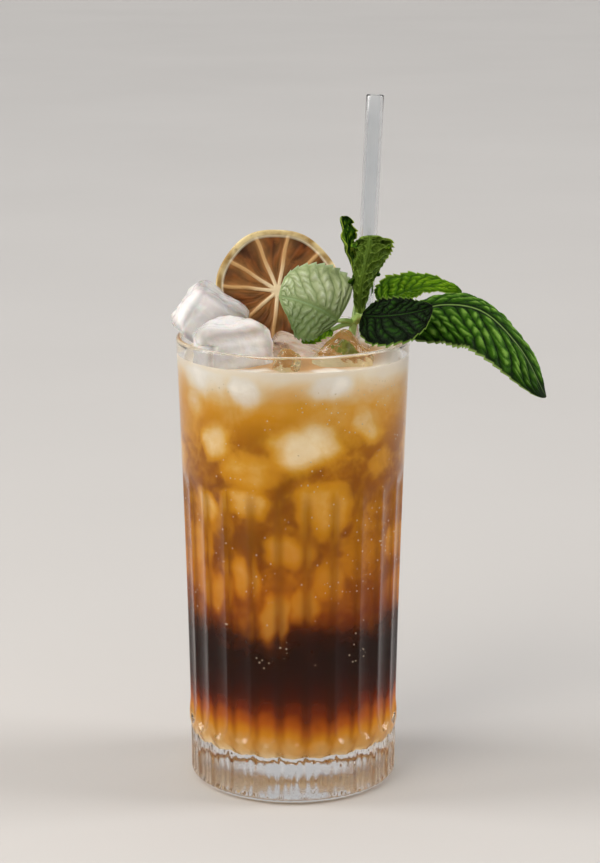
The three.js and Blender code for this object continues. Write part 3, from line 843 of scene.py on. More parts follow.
def sunk_places():
    """Middles, half sizes in mm and brightness: the front ones, then random ones that keep clear of them."""
    dice = np.random.default_rng(SUNK_SEED)
    places = [front_lump(*shown) for shown in SUNK_FRONT]
    blocks = [(np.array(shape["at"]), np.array(shape["half"])) for shape in ICE.values()]
    for _ in range(SUNK_TRIES):
        if len(places) == len(SUNK_FRONT) + SUNK_RANDOM:
            break
        half = dice.uniform(*SUNK_HALF, 3)
        height = dice.uniform(SUNK_LOW, SUNK_HIGH)
        reach = (inner_radius(height * MM) / MM - half.max() - 0.5) * dice.uniform() ** NEAR_WALL
        angle = dice.uniform(0, 2 * math.pi)
        at = np.array([reach * math.cos(angle), reach * math.sin(angle), height])
        share = (height * MM - STRAW_FOOT.z) / (STRAW_TOP.z - STRAW_FOOT.z)
        straw = np.array(STRAW_FOOT.lerp(STRAW_TOP, share)) / MM
        off_straw = math.hypot(*(at - straw)[:2]) > half.mean() + STRAW_ROOM
        others = [place[:2] for place in places] + blocks
        apart = all(np.linalg.norm((at - other) / (half + size)) > SUNK_ROOM for other, size in others)
        if off_straw and apart:
            places.append((at, half, dice.uniform(*SUNK_BRIGHTNESS)))
    return places


def sunk_look(tree):
    patches = tree.noise(110, detail=4, rough=0.6)
    shade = tree.mix("e8cf9c", "fff4dc", tree.rise(patches, 0.3, 0.65))
    return tree.principled(
        Base_Color=shade, Roughness=0.5, IOR=DRINK_IOR, Specular_IOR_Level=0.0,
        Normal=tree.bump(tree.noise(200), 0.5 * MM, 0.5),
    )


sunk_directions, sunk_faces = cube_skin(SUNK_STEPS)
sunk_lumps = sunk_places()
sunk_points = []
all_faces = []
for index, (at, half, _) in enumerate(sunk_lumps):
    blob = lump(sunk_directions, index + 1, SUNK_SQUARENESS, SUNK_LUMPS) * half * MM
    start = len(sunk_points) * len(sunk_directions)
    blob = turned_points(blob, sunk_tilt(index), at * MM)
    blob[:, 2] = np.minimum(blob[:, 2], SUNK_TOP)
    sunk_points.append(inside_glass(blob, SUNK_WALL_GAP))
    all_faces += [tuple(start + corner for corner in face) for face in sunk_faces]
sunk_mesh = plain_mesh("sunk_ice", np.vstack(sunk_points), all_faces)
sunk_mesh.materials.append(look("sunk_ice", sunk_look))
stand_in(placed("sunk_ice", sunk_mesh), "ice")


def bent_by_flutes(points):
    """Where the points of the wall seem to lie, because each flute bends the view like a lens."""
    angle = np.arctan2(points[:, 1], points[:, 0])
    off_middle = (angle * FLUTES / (2 * math.pi) + 0.5) % 1 - 0.5
    fluted = eased((FLUTE_SIZES["Top"] / MM - points[:, 2]) / (FLUTE_SIZES["Fade"] / MM))
    angle = angle + off_middle * fluted * FLUTE_LENS * 2 * math.pi / FLUTES
    reach = np.hypot(points[:, 0], points[:, 1])
    return np.column_stack([reach * np.cos(angle), reach * np.sin(angle), points[:, 2]])


def ice_behind(points):
    """How strongly ice shows at each point of the drink's skin, with 1 where a lump lies right behind it.

    The wall looks in towards the axis, the middle of the floor looks up and the top looks down.
    """
    points = bent_by_flutes(points)
    radius = np.maximum(np.hypot(points[:, 0], points[:, 1]), 1e-6)
    inwards = np.column_stack([-points[:, 0] / radius, -points[:, 1] / radius, np.zeros(len(points))])
    inwards[radius < 0.01] = (0, 0, 1)
    inwards[points[:, 2] > (DRINK_LEVEL - MM) / MM] = (0, 0, -1)
    shown = np.zeros(len(points))
    lumps = [(*place, sunk_tilt(index)) for index, place in enumerate(sunk_lumps)]
    for shape in ICE.values():
        half = np.array(shape["half"], float)
        lumps.append((np.array(shape["at"]), half, POKING_BRIGHTNESS, shape["turn"]))
    for index, (at, half, bright, tilt) in enumerate(lumps):
        wobble = 0.8 * np.sin(points[:, [1, 2, 0]] * 0.31 + index)
        wobble = wobble + 0.5 * np.sin(points[:, [2, 0, 1]] * 0.83 + index)
        turn = turn_matrix(tilt)
        ahead = (at - points - wobble) @ turn / half
        along = inwards @ turn / half
        nearest = (ahead * along).sum(1) / (along * along).sum(1)
        miss = np.abs(ahead - nearest[:, None] * along) ** SOFT_SQUARENESS
        miss = miss.sum(1) ** (1 / SOFT_SQUARENESS)
        chord = np.sqrt(np.clip(1 - miss ** 2, 0, 1) / (along * along).sum(1))
        depth = np.maximum(nearest - chord, 0)
        edge = eased((SOFT_EDGE[1] - miss) / SOFT_EDGE[0])
        shown = np.maximum(shown, bright * edge * np.exp(-depth / CLEAR_DEPTH))
    return shown


holes = []
for shape in ICE.values():
    holes.append(plain_mesh("hole", ice_points(ice_directions, shape, -WALL_OVERLAP), ice_faces))
drink_mesh = cut(drink_blank(), holes)
skin_points = np.array([v.co for v in drink_mesh.vertices]) / MM
give_marks(drink_mesh, "ice_behind", ice_behind(skin_points))
drink_mesh.materials.append(look("cloudy_tea", drink_look))
stand_in(placed("tea", drink_mesh), "drink", "drink")

# Straw: a clear drawn glass tube, 6 mm across and open at both ends, which are melted round. It stands a
# little aslant on the floor of the glass, held by the ice. Its foot and top are given with the sunk ice.
STRAW_RADIUS = 3 * MM
STRAW_BORE = 2.1 * MM
STRAW_COLUMNS = 64
STRAW_ROWS = 24
STRAW_END_STEPS = 9


def straw_look(tree):
    return tree.principled(
        Base_Color=tree.mix("e6ebef", "fdfdfd", tree.noise(60)), Roughness=0.0,
        IOR=GLASS_IOR, Transmission_Weight=1.0,
    )


def moved_mesh(mesh, turn, at, scale=1):
    """The mesh with its points scaled and turned about the origin, and then moved to a place."""
    points = np.array([v.co for v in mesh.vertices]) @ np.array(turn).T * scale + np.array(at)
    mesh.vertices.foreach_set("co", points.astype(np.float32).ravel())
    mesh.update()
    return mesh


def straw_mesh():
    """The tube, drawn upright as one closed wall with round ends, and then leaned over."""
    axis = STRAW_TOP - STRAW_FOOT
    lip = (STRAW_RADIUS - STRAW_BORE) / 2
    middle = STRAW_BORE + lip
    ends = np.linspace(0, math.pi, STRAW_END_STEPS)
    profile = [(middle - lip * math.cos(a), lip - lip * math.sin(a)) for a in ends]
    heights = np.linspace(lip, axis.length - lip, STRAW_ROWS)[1:-1]
    profile += [(STRAW_RADIUS, h) for h in heights]
    profile += [(middle + lip * math.cos(a), axis.length - lip + lip * math.sin(a)) for a in ends]
    profile += [(STRAW_BORE, h) for h in heights[::-1]]
    mesh = skinned("straw", turned_rings(profile, STRAW_COLUMNS), closed=True)
    return moved_mesh(mesh, Vector((0, 0, 1)).rotation_difference(axis).to_matrix(), STRAW_FOOT)


straw = straw_mesh()
straw.materials.append(look("straw_glass", straw_look))
stand_in(placed("clear_straw", straw), "straw_glass", "straw")

# Citrus wheel: a dried slice of lime or lemon, 43 mm across. The pulp has shrunk and darkened between its
# paler membranes, and the rind has curled a little. It leans on the ice behind the front cubes. A length
# without MM is in mm.
WHEEL_CENTRE = Vector((-5.3, 18, 169)) * MM
WHEEL_RADIUS = 21.7
WHEEL_LEAN_DEG = 14
WHEEL_TURN_DEG = 4
RIND_THICKNESS = 3.2
MEMBRANE_THICKNESS = 2.4
PULP_THICKNESS = 1.2
RIND_WIDTH = 2.7
RIND_FADE = 0.9
MEMBRANE_HALF_WIDTH = 0.22
MEMBRANE_FADE = 0.8
FLANK_WIDTH = 2
RIND_ROUNDING = 0.6
HUB_RADIUS = 1.6
HUB_FADE = 1.6
WHEEL_WARP = 0.9
WRINKLE_DEPTH = 0.16
PORE_DEPTH = 0.05
SPOKE_WANDER = 0.012
SPOKES_DEG = [8, 41, 79, 112, 147, 174, 220, 263, 298, 333]
WHEEL_COLUMNS = 420
WHEEL_RINGS = 46
FIRST_RING = 0.5
ROUND_EDGE_ANGLES = (0.5, 1.05)
HUB_MARKS = (1.0, 0.0, 0.0, 1.0)


def wheel_masks(radius, angle):
    """How much of a point is membrane and how much rind, and the wrinkles of the pulp between them."""
    spokes = np.radians(SPOKES_DEG)
    wander = SPOKE_WANDER * np.sin(radius * 0.5 + angle * 3)
    gap = np.abs((angle[:, None] + wander[:, None] - spokes + math.pi) % (2 * math.pi) - math.pi).min(1)
    from_spoke = gap * radius
    membrane = 1 - eased((from_spoke - MEMBRANE_HALF_WIDTH) / MEMBRANE_FADE)
    membrane = np.maximum(membrane, 1 - eased((radius - HUB_RADIUS) / HUB_FADE))
    rind = eased((radius - (WHEEL_RADIUS - RIND_WIDTH)) / RIND_FADE)
    rays = np.sin(29 * angle + 2.2 * np.sin(0.5 * radius)) * 0.35
    rays = rays + np.sin(63 * angle + 0.9 * radius) * 0.15
    cells = np.sin(0.8 * radius + 7 * angle) * 0.4
    wrinkle = (rays + cells) * eased(radius / 7) * (1 - membrane) * (1 - rind)
    flank = np.exp(-np.maximum(from_spoke - MEMBRANE_HALF_WIDTH, 0) / FLANK_WIDTH)
    return membrane, rind, wrinkle, flank


def wheel_mesh():
    """The slice, with its front facing forwards, made ring by ring from hub to rind and back behind it."""
    angles = np.arange(WHEEL_COLUMNS) / WHEEL_COLUMNS * 2 * math.pi
    front = [(r, 1.0) for r in np.linspace(FIRST_RING, WHEEL_RADIUS - RIND_ROUNDING, WHEEL_RINGS)]
    for a in ROUND_EDGE_ANGLES:
        front.append((WHEEL_RADIUS - RIND_ROUNDING * (1 - math.sin(a)), math.cos(a)))
    rows = [*front, (WHEEL_RADIUS, 0.0), *[(r, -facing) for r, facing in front[::-1]]]
    rings = [[(0, MEMBRANE_THICKNESS / 2, 0)]]
    marks = [HUB_MARKS]
    for radius, facing in rows:
        reach = np.full(WHEEL_COLUMNS, radius)
        membrane, rind, wrinkle, flank = wheel_masks(reach, angles)
        thickness = PULP_THICKNESS + (MEMBRANE_THICKNESS - PULP_THICKNESS) * membrane
        thickness = thickness + (RIND_THICKNESS - thickness) * rind
        warp = WHEEL_WARP * np.sin(2 * angles + 0.6) * (radius / WHEEL_RADIUS) ** 2
        uneven = 1 + 0.012 * np.sin(3 * angles + 1) + 0.01 * np.sin(7 * angles)
        pores = PORE_DEPTH * np.sin(61 * angles + radius) * rind
        across = warp + facing * (thickness / 2 + WRINKLE_DEPTH * wrinkle + pores)
        out = reach * uneven
        rings.append(list(zip(out * np.cos(angles), across, out * np.sin(angles))))
        marks.extend(zip(membrane, rind, wrinkle, flank))
    rings.append([(0, -MEMBRANE_THICKNESS / 2, 0)])
    marks.append(HUB_MARKS)
    mesh = skinned("citrus_wheel", rings)
    for name, values in zip(("membrane", "rind", "wrinkle", "flank"), np.array(marks, np.float32).T):
        give_marks(mesh, name, values)
    lean = Euler((-math.radians(WHEEL_LEAN_DEG), 0, 0)).to_matrix()
    turn = Euler((0, 0, math.radians(WHEEL_TURN_DEG))).to_matrix()
    return moved_mesh(mesh, turn @ lean, WHEEL_CENTRE, MM)


def wheel_look(tree):
    """Brown dried pulp, membranes that pale towards the hub, white pith and a mottled yellow peel."""
    mottle = tree.noise(420, detail=4, rough=0.65)
    blotch = tree.noise(130, detail=2)
    pulp = tree.mix("3a1702", "733a0e", tree.rise(mark(tree, "wrinkle"), -0.6, 0.7))
    pulp = tree.mix(pulp, "85501f", tree.rise(mottle, 0.5, 0.75) * 0.6)
    pulp = tree.mix(pulp, "2a0f02", tree.rise(blotch, 0.48, 0.66) * 0.75)
    pulp = tree.mix(pulp, "a8743c", tree.rise(tree.noise(48, detail=2), 0.5, 0.72) * 0.5)
    pulp = tree.mix(pulp, "b8864e", mark(tree, "flank") * 0.6)
    values = {0: tree.place(), 1: WHEEL_CENTRE}
    from_hub = tree.add("ShaderNodeVectorMath", {"operation": "DISTANCE"}, values, out="Value")
    skin = tree.mix("f0e0bc", "c49c68", tree.rise(from_hub, 2 * MM, 13 * MM))
    skin = tree.mix(skin, "a87c4c", mottle * 0.4)
    flesh = tree.mix(pulp, skin, tree.rise(mark(tree, "membrane"), 0.1, 0.9))
    peel = tree.mix("8c6c34", "d6c290", tree.rise(blotch, 0.35, 0.62))
    peel = tree.mix(peel, "6f5226", tree.rise(mottle, 0.55, 0.75) * 0.6)
    shade = tree.mix(flesh, peel, mark(tree, "rind"))
    pith = mark(tree, "rind") * (1 - mark(tree, "rind")) * 3
    shade = tree.mix(shade, "f2e8cc", pith)
    grain = tree.bump(mottle + mark(tree, "wrinkle") * 0.3, 0.5 * MM, 0.6)
    rough = 0.62 - mark(tree, "wrinkle") * 0.12
    return tree.principled(Base_Color=shade, Roughness=rough, Normal=grain, Specular_IOR_Level=0.2)


wheel = wheel_mesh()
wheel.materials.append(look("dried_citrus", wheel_look))
stand_in(placed("dried_wheel", wheel), "dried_citrus", "citrus_wheel")

# Mint: a sprig that stands in the drink on the right, with leaves that are quilted between their veins and
# toothed round the edge. Each leaf grows on its own short stalk from the top of the stem. A length without
# MM is in mm.
LEAF_THICKNESS = 0.45
TOOTH = 1.15
EDGE_WAVE = 0.8
WAVES = 9
STALK_HALF_WIDTH = 0.6
LEAF_ROWS = 160
LEAF_COLUMNS = 72
EDGE_CROWDING = 0.8
EDGE_THINNING = 0.55
VEIN_SLANT = 0.24
VEIN_STAGGER = 0.35
CROSS_VEINS = 5.2
MIDRIB = (0.01, 0.035)
LOW_SHADE_LEVELS = (163 * MM, 177 * MM)


def side(width, bend_at_stalk, bend_at_tip, blunt=0.5, point=0.75):
    """One side of a leaf: its width, its bend in degrees at the stalk and at the tip, and its outline.

    The smaller blunt is, the fuller the outline is near the stalk, and point says the same near the tip.
    """
    return width, math.radians(bend_at_stalk), math.radians(bend_at_tip), blunt, point


# The rib is the path of the midrib, and up is where the upper side faces, at the stalk and at the tip.
LEAVES = {
    "mint_leaf_left": {
        "rib": [(15.3, -4, 162.6), (9.6, -6.4, 166.8), (1, -9.8, 170.8), (-4.6, -13, 172.4)],
        "up": [(0.12, -0.87, 0.3), (-0.1, -0.8, 0.5)],
        "left": side(12.4, 25, 10, 0.9), "right": side(14.4, 12, 6, 0.38),
        "pucker": 0.85, "ruffle": 0.5, "veins": 9, "teeth": 13, "look": "sage",
    },
    "mint_leaf_upright": {
        "rib": [(22.6, -2.4, 164.8), (22.9, -5, 174), (24.4, -5.2, 182), (25.8, -3.8, 189),
                (26, -1.6, 191.4)],
        "up": [(0.1, 1, 0.1), (0.1, 0.8, -0.5)],
        "left": side(9, 165, 50, 0.25, 0.12), "right": side(8, 160, 60, 0.25, 0.12),
        "pucker": 1.4, "ruffle": 3.4, "veins": 10, "teeth": 16, "look": "netted",
    },
    "mint_leaf_curl": {
        "rib": [(21.6, 4.4, 167), (20.6, 4.8, 178), (18, 3.4, 187.5), (16.4, 1.4, 197.4)],
        "up": [(1, -0.3, 0), (0.7, -0.7, 0.2)],
        "left": side(2.8, 50, 90, 1.4, 0.3), "right": side(3.2, 50, 90, 1.4, 0.3),
        "pucker": 0.4, "ruffle": 1.2, "veins": 8, "teeth": 10, "look": "netted",
    },
    "mint_leaf_back": {
        "rib": [(30.8, 5, 166.6), (38, 9, 169.6), (47, 10.5, 171.4), (58, 8.5, 170.2)],
        "up": [(0, -0.3, 0.95), (0.2, -0.38, 0.9)],
        "left": side(8.8, 20, 12, 0.4), "right": side(4.4, 20, 12, 0.4),
        "pucker": 0.9, "ruffle": 0.7, "veins": 9, "teeth": 14, "look": "lime",
    },
    "mint_leaf_front": {
        "rib": [(23.4, -6, 164.6), (30, -11, 165.4), (39, -15, 167.2), (46.8, -16.5, 169.4)],
        "up": [(0.1, -0.8, 0.5), (0.1, -0.7, 0.6)],
        "left": side(5.5, 20, 10), "right": side(11.5, 20, 10, 0.7),
        "pucker": 0.7, "ruffle": 1.0, "veins": 8, "teeth": 13, "look": "shade",
    },
    "mint_leaf_right": {
        "rib": [(26, -1.5, 162.4), (38, -2.2, 164.2), (51, -3.2, 167.8), (64, -4, 165.8), (77, -5.4, 153.4),
                (86.2, -6.5, 136.6)],
        "up": [(0, -0.35, 0.95), (0.75, -0.5, 0.35)],
        "left": side(11, -65, -34, 1), "right": side(16.5, -38, -24, 1),
        "pucker": 1.2, "ruffle": 0.6, "veins": 13, "teeth": 22, "look": "deep",
    },
    "mint_leaf_small": {
        "rib": [(13, -4, 159.4), (8.6, -7, 158.2), (3.2, -10.4, 156.2)],
        "up": [(-0.2, -0.7, 0.65), (-0.2, -0.7, 0.65)],
        "left": side(2, 20, 10), "right": side(2.4, 20, 10),
        "pucker": 0.2, "ruffle": 0.2, "veins": 5, "teeth": 7, "look": "lime",
    },
}


def curve_points(knots, share):
    """Points of a smooth curve through the knots, for shares from 0 to 1 of the way along it."""
    knots = np.array(knots, float)
    padded = np.vstack([2 * knots[0] - knots[1], knots, 2 * knots[-1] - knots[-2]])
    place = np.clip(share, 0, 1) * (len(knots) - 1)
    index = np.minimum(place.astype(int), len(knots) - 2)
    weight = (place - index)[:, None]
    before, start, end, after = (padded[index + step] for step in range(4))

    def gap(first, second):
        return np.sqrt(np.linalg.norm(second - first, axis=1, keepdims=True))

    a, b, c = gap(before, start), gap(start, end), gap(end, after)
    leaving = b * ((start - before) / a - (end - before) / (a + b) + (end - start) / b)
    arriving = b * ((end - start) / b - (after - start) / (b + c) + (after - end) / c)
    bent = (3 * (end - start) - 2 * leaving - arriving) * weight ** 2
    return start + leaving * weight + bent + (2 * (start - end) + leaving + arriving) * weight ** 3


def width_share(blunt, point, t):
    """The width at t along a leaf, as a share of its greatest width."""
    widest = blunt / (blunt + point)
    return (t / widest) ** blunt * ((1 - t) / (1 - widest)) ** point


def quilting(leaf, t, s):
    """Height of the blade between its veins, from 0 on a vein to 1, with cross veins between the main."""
    a = np.abs(s)
    stray = 0.16 * np.sin(11 * t + 4 * s + leaf["veins"]) + 0.1 * np.sin(27 * t - 9 * s)
    lane = (t - VEIN_SLANT * a ** 1.15) * leaf["veins"] + VEIN_STAGGER * (s > 0) + stray
    main = 1 - np.abs(2 * (lane % 1) - 1)
    cross_lane = a * CROSS_VEINS + 0.37 * np.floor(lane) + 0.3 * np.sin(5 * lane) + 0.2 * np.sin(31 * t)
    cross = 1 - np.abs(2 * (cross_lane % 1) - 1)
    rib = eased((a - 0.015) / 0.16)
    edge = 1 - 0.75 * eased((a - 0.72) / 0.28)
    ends = eased(t / 0.08) * eased((1 - t) / 0.1)
    return np.sqrt(main) * (0.3 + 0.7 * np.sqrt(cross)) * rib * edge * ends


def leaf_surface(leaf, t, s):
    """The middle surface of a leaf on a grid of t along the rib and s across it, from -1 to 1."""
    rib = leaf["rib"]
    nudge = 1e-4
    middle = curve_points(rib, t)
    along = unit(curve_points(rib, t + nudge) - curve_points(rib, t - nudge))
    first, last = np.array(leaf["up"], float)
    up = first + (last - first) * t[:, None]
    up = unit(up - along * (up * along).sum(1, keepdims=True))
    across = np.cross(along, up)[:, None, :]
    tt, ss = np.meshgrid(t, s, indexing="ij")
    out, rise = np.zeros_like(tt), np.zeros_like(tt)
    for sign, sizes in ((-1, leaf["left"]), (1, leaf["right"])):
        width, bend_at_stalk, bend_at_tip, blunt, point = sizes
        half = ss * sign >= 0
        share = width_share(blunt, point, tt)
        tooth = TOOTH * (1 - (tt * leaf["teeth"]) % 1) * np.abs(ss) ** 6
        reach = (width + tooth) * share + STALK_HALF_WIDTH
        bend = bend_at_stalk + (bend_at_tip - bend_at_stalk) * tt
        swing = bend * np.abs(ss)
        wave = EDGE_WAVE * ss * ss * np.sin(WAVES * tt + 2 * ss) * share
        crinkle = np.sin(23 * tt + 5 * ss) * np.cos(9 * tt - 3 * ss) * share
        wave = wave + leaf["ruffle"] * np.abs(ss) ** 1.5 * crinkle
        out = np.where(half, sign * reach * np.sin(swing) / bend, out)
        rise = np.where(half, reach * (1 - np.cos(swing)) / bend + wave, rise)
    return middle[:, None, :] + across * out[..., None] + up[:, None, :] * rise[..., None], tt, ss


def leaf_mesh(name, leaf):
    """A quilted leaf with an upper and an under skin, a narrow rim between them, and marks for its look."""
    t = np.linspace(0, 1, LEAF_ROWS + 1)
    swing = math.pi / 2 * EDGE_CROWDING
    s = np.sin(np.linspace(-1, 1, LEAF_COLUMNS + 1) * swing) / math.sin(swing)
    surface, tt, ss = leaf_surface(leaf, t, s)
    normal = unit(np.cross(np.gradient(surface, axis=1), np.gradient(surface, axis=0)) + 1e-12)
    quilt = quilting(leaf, tt, ss)
    surface = surface + normal * (quilt * leaf["pucker"])[..., None]
    thin = LEAF_THICKNESS / 2 * (1 - EDGE_THINNING * np.abs(ss) ** 4)
    upper = surface + normal * thin[..., None]
    under = surface - normal * thin[..., None]
    count = upper.shape[0] * upper.shape[1]
    index = np.arange(count).reshape(upper.shape[:2])
    a, b, c, d = index[:-1, :-1], index[:-1, 1:], index[1:, 1:], index[1:, :-1]
    faces = np.stack([a, b, c, d], -1).reshape(-1, 4).tolist()
    faces += (np.stack([a, d, c, b], -1).reshape(-1, 4) + count).tolist()
    rim = [*index[0, :], *index[1:, -1], *index[-1, -2::-1], *index[-2:0:-1, 0]]
    for first, second in zip(rim, rim[1:] + rim[:1]):
        faces.append((int(second), int(first), int(first) + count, int(second) + count))
    points = np.concatenate([upper.reshape(-1, 3), under.reshape(-1, 3)]) * MM
    mesh = plain_mesh(name, points, faces)
    uv = np.tile(np.stack([tt.ravel(), ss.ravel() / 2 + 0.5], -1), (2, 1)).astype(np.float32)
    corners = np.zeros(len(mesh.loops), np.int32)
    mesh.loops.foreach_get("vertex_index", corners)
    mesh.uv_layers.new(name="blade").data.foreach_set("uv", uv[corners].ravel())
    give_marks(mesh, "upper_side", np.repeat([1, 0], count))
    give_marks(mesh, "quilt", np.tile(quilt.ravel(), 2))
    return mesh


def leaf_look(groove_shade, blade, light, vein, under, under_vein, edge, glow, dim):
    """Mint blade: painted shade in the grooves of the quilted upper side and a painted highlight on its
    raised cells, with raised pale veins below.

    glow is the share of light that comes through, and dim is how far the part low down near the drink is
    painted darker towards under, as painted shade.
    """
    def make(tree):
        across = tree.split(tree.add("ShaderNodeUVMap", {"uv_map": "blade"}), "Y") * 2 - 1
        a = across.maths("ABSOLUTE", across)
        rib_line = tree.fall(a, *MIDRIB)
        quilt = mark(tree, "quilt")
        mottle = tree.noise(300, detail=4, rough=0.6)
        cells = tree.add("ShaderNodeTexVoronoi", {"feature": "DISTANCE_TO_EDGE"},
                         {"Vector": tree.place(), "Scale": 900})
        net = tree.fall(cells, 0.02, 0.16)
        # Painted shade and highlight: the upper side is darker down in the grooves of the quilting and
        # lighter on its raised cells.
        raised = tree.rise(quilt + (mottle - 0.5) * 0.4, 0.05, 0.62)
        top = tree.mix(groove_shade, blade, raised)
        top = tree.mix(top, light, tree.rise(quilt + (mottle - 0.5) * 0.9, 0.5, 1.0))
        top = tree.mix(top, groove_shade, tree.rise(tree.noise(70, detail=2), 0.48, 0.72) * 0.4)
        top = tree.mix(top, vein, rib_line * 0.8)
        side_veins = tree.fall(quilt, 0.1, 0.36) * tree.rise(a, 0.05, 0.12)
        lines = rib_line.maths("MAXIMUM", rib_line * 0.3, side_veins)
        low = tree.mix(under, light, mottle * 0.3)
        low = tree.mix(low, under_vein, lines.maths("MAXIMUM", lines, net * 0.3))
        shade = tree.mix(low, top, mark(tree, "upper_side"))
        shade = tree.mix(shade, edge, tree.rise(a, 0.93, 0.995) * 0.8)
        # Painted shade: the blade is painted darker towards the under colour low down, where less light
        # falls.
        low_shade = tree.fall(tree.split(tree.place(), "Z") + (mottle - 0.5) * (4 * MM), *LOW_SHADE_LEVELS)
        shade = tree.mix(shade, under, low_shade * dim)
        height = mottle * 0.6 - net * 0.25 - lines * 0.6 * (mark(tree, "upper_side") * 2 - 1)
        skin = tree.principled(
            Base_Color=shade, Roughness=0.46 + mottle * 0.15, Normal=tree.bump(height, 0.5 * MM, 0.7),
            Specular_IOR_Level=0.07,
        )
        through = tree.add("ShaderNodeBsdfTranslucent", values={"Color": colour(blade)})
        return tree.blend(skin, through, glow)
    return make


# What leaf_look takes for each kind of leaf: seven colours, the light that comes through, and how far the
# part low down is painted darker as painted shade.
LEAF_COLOURS = {
    # sage is partly its own pale green and partly a painted sheen of the light on the upper side.
    "sage": ("95a672", "bac69a", "d2dcbc", "9db58a", "46601e", "a9bd8c", "b4c8a0", 0.12, 0.75),
    "netted": ("0e2204", "34600e", "8cb42a", "6f9438", "152a04", "748e3a", "b4cc40", 0.2, 0.3),
    "lime": ("365a06", "5c8a0a", "8cb422", "6f9438", "5a8424", "94b460", "a8c448", 0.3, 0),
    # shade is painted shadow: a whole blade in near black for the leaf that the light does not reach.
    "shade": ("040a01", "0e2006", "1e3e08", "22440e", "182c08", "46682c", "6c8c34", 0.1, 0),
    "deep": ("0a1c02", "305a06", "78a040", "7c9c50", "345a14", "7c9c50", "94b05c", 0.16, 0),
}
for node, leaf in LEAVES.items():
    blade = leaf_mesh(node, leaf)
    colours = LEAF_COLOURS[leaf["look"]]
    blade.materials.append(look(node, leaf_look(*colours)))
    stand_in(placed(node + "_blade", blade), "mint_leaf", node)

# Mint stem: the square, pale green stalk of the sprig, which stands in the drink and forks into one short
# stalk for each leaf just above the rim. Its sizes are in mm.
STEM_RADIUS = 1.3
FORK_RADIUS = 1.0
STALK_RADIUS = 0.7
STEM_PATH = [(15, -1, 112), (17.5, 0.5, 140), (20, 1.2, 156), (21, 1.5, 162.5)]
STALK_START = np.array([20.8, 1.4, 161])
STALK_ARCH = (0, 0, 0.4)
STEM_SIDES = 20
STEM_SQUARENESS = 0.06
STEM_STEPS = 40
STALK_STEPS = 14


def tube_rings(knots, start_radius, end_radius, steps):
    """Rings for skinned along a smooth curve, with a rounded end, in mm."""
    t = np.linspace(0, 1, steps)
    middle = curve_points(knots, t)
    along = unit(np.gradient(middle, axis=0))
    aside = unit(np.cross(along, (0.3, 1, 0.1)))
    other = np.cross(along, aside)
    angles = np.arange(STEM_SIDES) / STEM_SIDES * 2 * math.pi
    rings = [[tuple(middle[0])]]
    for step in range(steps):
        radius = start_radius + (end_radius - start_radius) * t[step]
        squared = radius * (1 + STEM_SQUARENESS * np.cos(4 * angles))[:, None]
        facing = np.cos(angles)[:, None] * aside[step] + np.sin(angles)[:, None] * other[step]
        rings.append([tuple(point) for point in middle[step] + squared * facing])
    rings.append([tuple(middle[-1] + along[-1] * end_radius * 0.4)])
    return rings


def stem_look(tree):
    streaks = tree.noise(300, detail=3)
    shade = tree.mix("6f8f3c", "a3ba6c", streaks)
    return tree.principled(Base_Color=shade, Roughness=0.45, Normal=tree.bump(streaks, 0.3 * MM, 0.4))


stem_parts = [tube_rings(STEM_PATH, STEM_RADIUS, STEM_RADIUS, STEM_STEPS)]
for leaf in LEAVES.values():
    end = np.array(leaf["rib"][0], float)
    middle = (STALK_START + end) / 2 + STALK_ARCH
    stem_parts.append(tube_rings([STALK_START, middle, end], FORK_RADIUS, STALK_RADIUS, STALK_STEPS))
stem_shape = bmesh.new()
for rings in stem_parts:
    stem_shape.from_mesh(skinned("stalk", rings))
bmesh.ops.scale(stem_shape, vec=(MM, MM, MM), verts=stem_shape.verts)
bmesh.ops.recalc_face_normals(stem_shape, faces=stem_shape.faces)
stem_mesh = bpy.data.meshes.new("mint_stem")
stem_shape.to_mesh(stem_mesh)
stem_shape.free()
stem_mesh.shade_smooth()
stem_mesh.materials.append(look("mint_stem", stem_look))
stand_in(placed("sprig_stem", stem_mesh), "mint_stem", "mint_stem")

# Bubbles: fizz that clings to the wall in small clusters, and a fine ring of foam where the drink meets the
# glass. Both are small balls of gas in a thin film.
BUBBLE_SIZES = {"Density": 130000, "Smallest": 0.11 * MM, "Largest": 0.34 * MM, "Spread": 0.15 * MM}
FOAM_SIZES = {"Density": 700000, "Smallest": 0.15 * MM, "Largest": 0.42 * MM, "Spread": 0.9 * MM}
BUBBLE_SHELL_GROWN = 0.15 * MM
BUBBLE_LOWEST = 48 * MM
BUBBLE_TOP_GAP = 3 * MM
FOAM_WALL_GAP = 0.4 * MM
FOAM_WIDTH = 0.9 * MM
FOAM_OUTER_LIFT = 0.5 * MM
FOAM_INNER_LIFT = 0.1 * MM
SHELL_ROWS = 24
SHELL_COLUMNS = 96
CLUSTER_SCALE = 85
# The numbers of a Random Value node's sockets for numbers.
RANDOM_LOW, RANDOM_HIGH, RANDOM_RESULT = 2, 3, 1


def bubble_look(tree):
    shade = tree.mix("f3d9a0", "fff6e0", tree.noise(500))
    return tree.principled(Base_Color=shade, Roughness=0.12, IOR=DRINK_IOR, Transmission_Weight=0.35)


def random_number(tree, low, high, seed):
    values = {RANDOM_LOW: low, RANDOM_HIGH: high, "Seed": seed}
    return tree.add("FunctionNodeRandomValue", {"data_type": "FLOAT"}, values, RANDOM_RESULT)


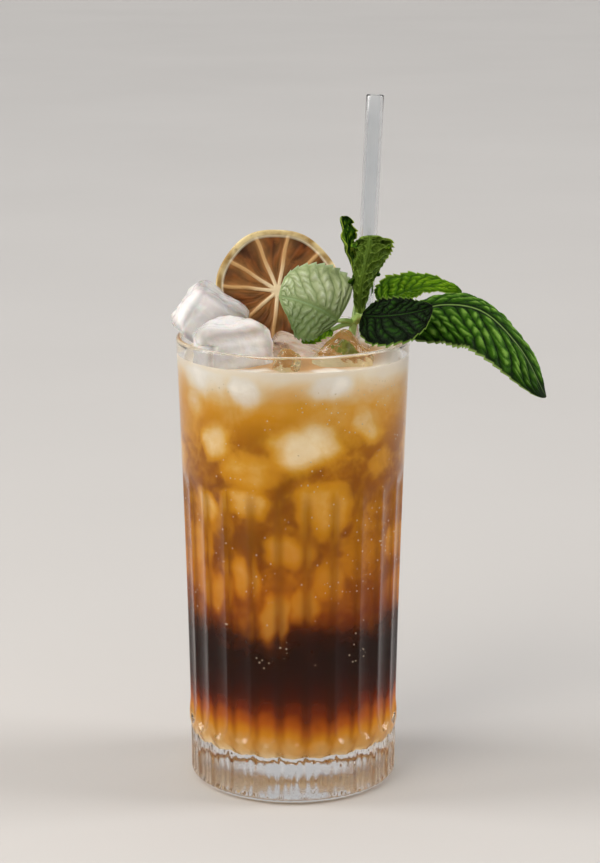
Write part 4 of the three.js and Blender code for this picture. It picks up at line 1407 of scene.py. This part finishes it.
def bubble_group(name, material, seed, clustered):
    """Small balls scattered over a shell and pushed inwards by a random share of the spread."""
    tree, given = node_group(name, BUBBLE_SIZES)
    density = given.out("Density")
    if clustered:
        spots = tree.add("ShaderNodeTexNoise", values={"Scale": CLUSTER_SCALE, "Detail": 2.0})
        density = density * tree.rise(spots, 0.5, 0.64)
    values = {"Mesh": given.out("Geometry"), "Density": density, "Seed": seed}
    points = tree.add("GeometryNodeDistributePointsOnFaces", values=values)
    push = random_number(tree, 0.0, given.out("Spread"), seed)
    inwards = tree.scaled(points.out("Normal"), push * -1)
    points = tree.add("GeometryNodeSetPosition", values={"Geometry": points, "Offset": inwards})
    ball = tree.add("GeometryNodeMeshIcoSphere", values={"Radius": 1.0, "Subdivisions": 2})
    ball = tree.add("GeometryNodeSetShadeSmooth", values={"Geometry": ball})
    size = random_number(tree, given.out("Smallest"), given.out("Largest"), seed + 1)
    values = {"Points": points, "Instance": ball, "Scale": size}
    return close_group(tree, tree.add("GeometryNodeInstanceOnPoints", values=values), material)


def bubble_shell():
    """The drink's wall, grown a little so that the bubbles just under it show."""
    heights = np.linspace(BUBBLE_LOWEST, DRINK_LEVEL - BUBBLE_TOP_GAP, SHELL_ROWS)
    profile = [(inner_radius(z) + BUBBLE_SHELL_GROWN, z) for z in heights]
    return skinned("bubble_shell", turned_rings(profile, SHELL_COLUMNS))


def foam_shell():
    """A narrow sloping ring on top of the drink along the wall."""
    edge = inner_radius(DRINK_LEVEL) - FOAM_WALL_GAP
    profile = [(edge, DRINK_LEVEL + FOAM_OUTER_LIFT), (edge - FOAM_WIDTH, DRINK_LEVEL + FOAM_INNER_LIFT)]
    return skinned("foam_shell", turned_rings(profile, SHELL_COLUMNS))


bubbles = look("bubbles", bubble_look)
fizz_group = bubble_group("fizz", bubbles, seed=3, clustered=True)
stand_in(made_by("fizz", bubble_shell(), fizz_group, BUBBLE_SIZES), "drink")
foam_group = bubble_group("foam", bubbles, seed=8, clustered=False)
stand_in(made_by("foam_ring", foam_shell(), foam_group, FOAM_SIZES), "drink")
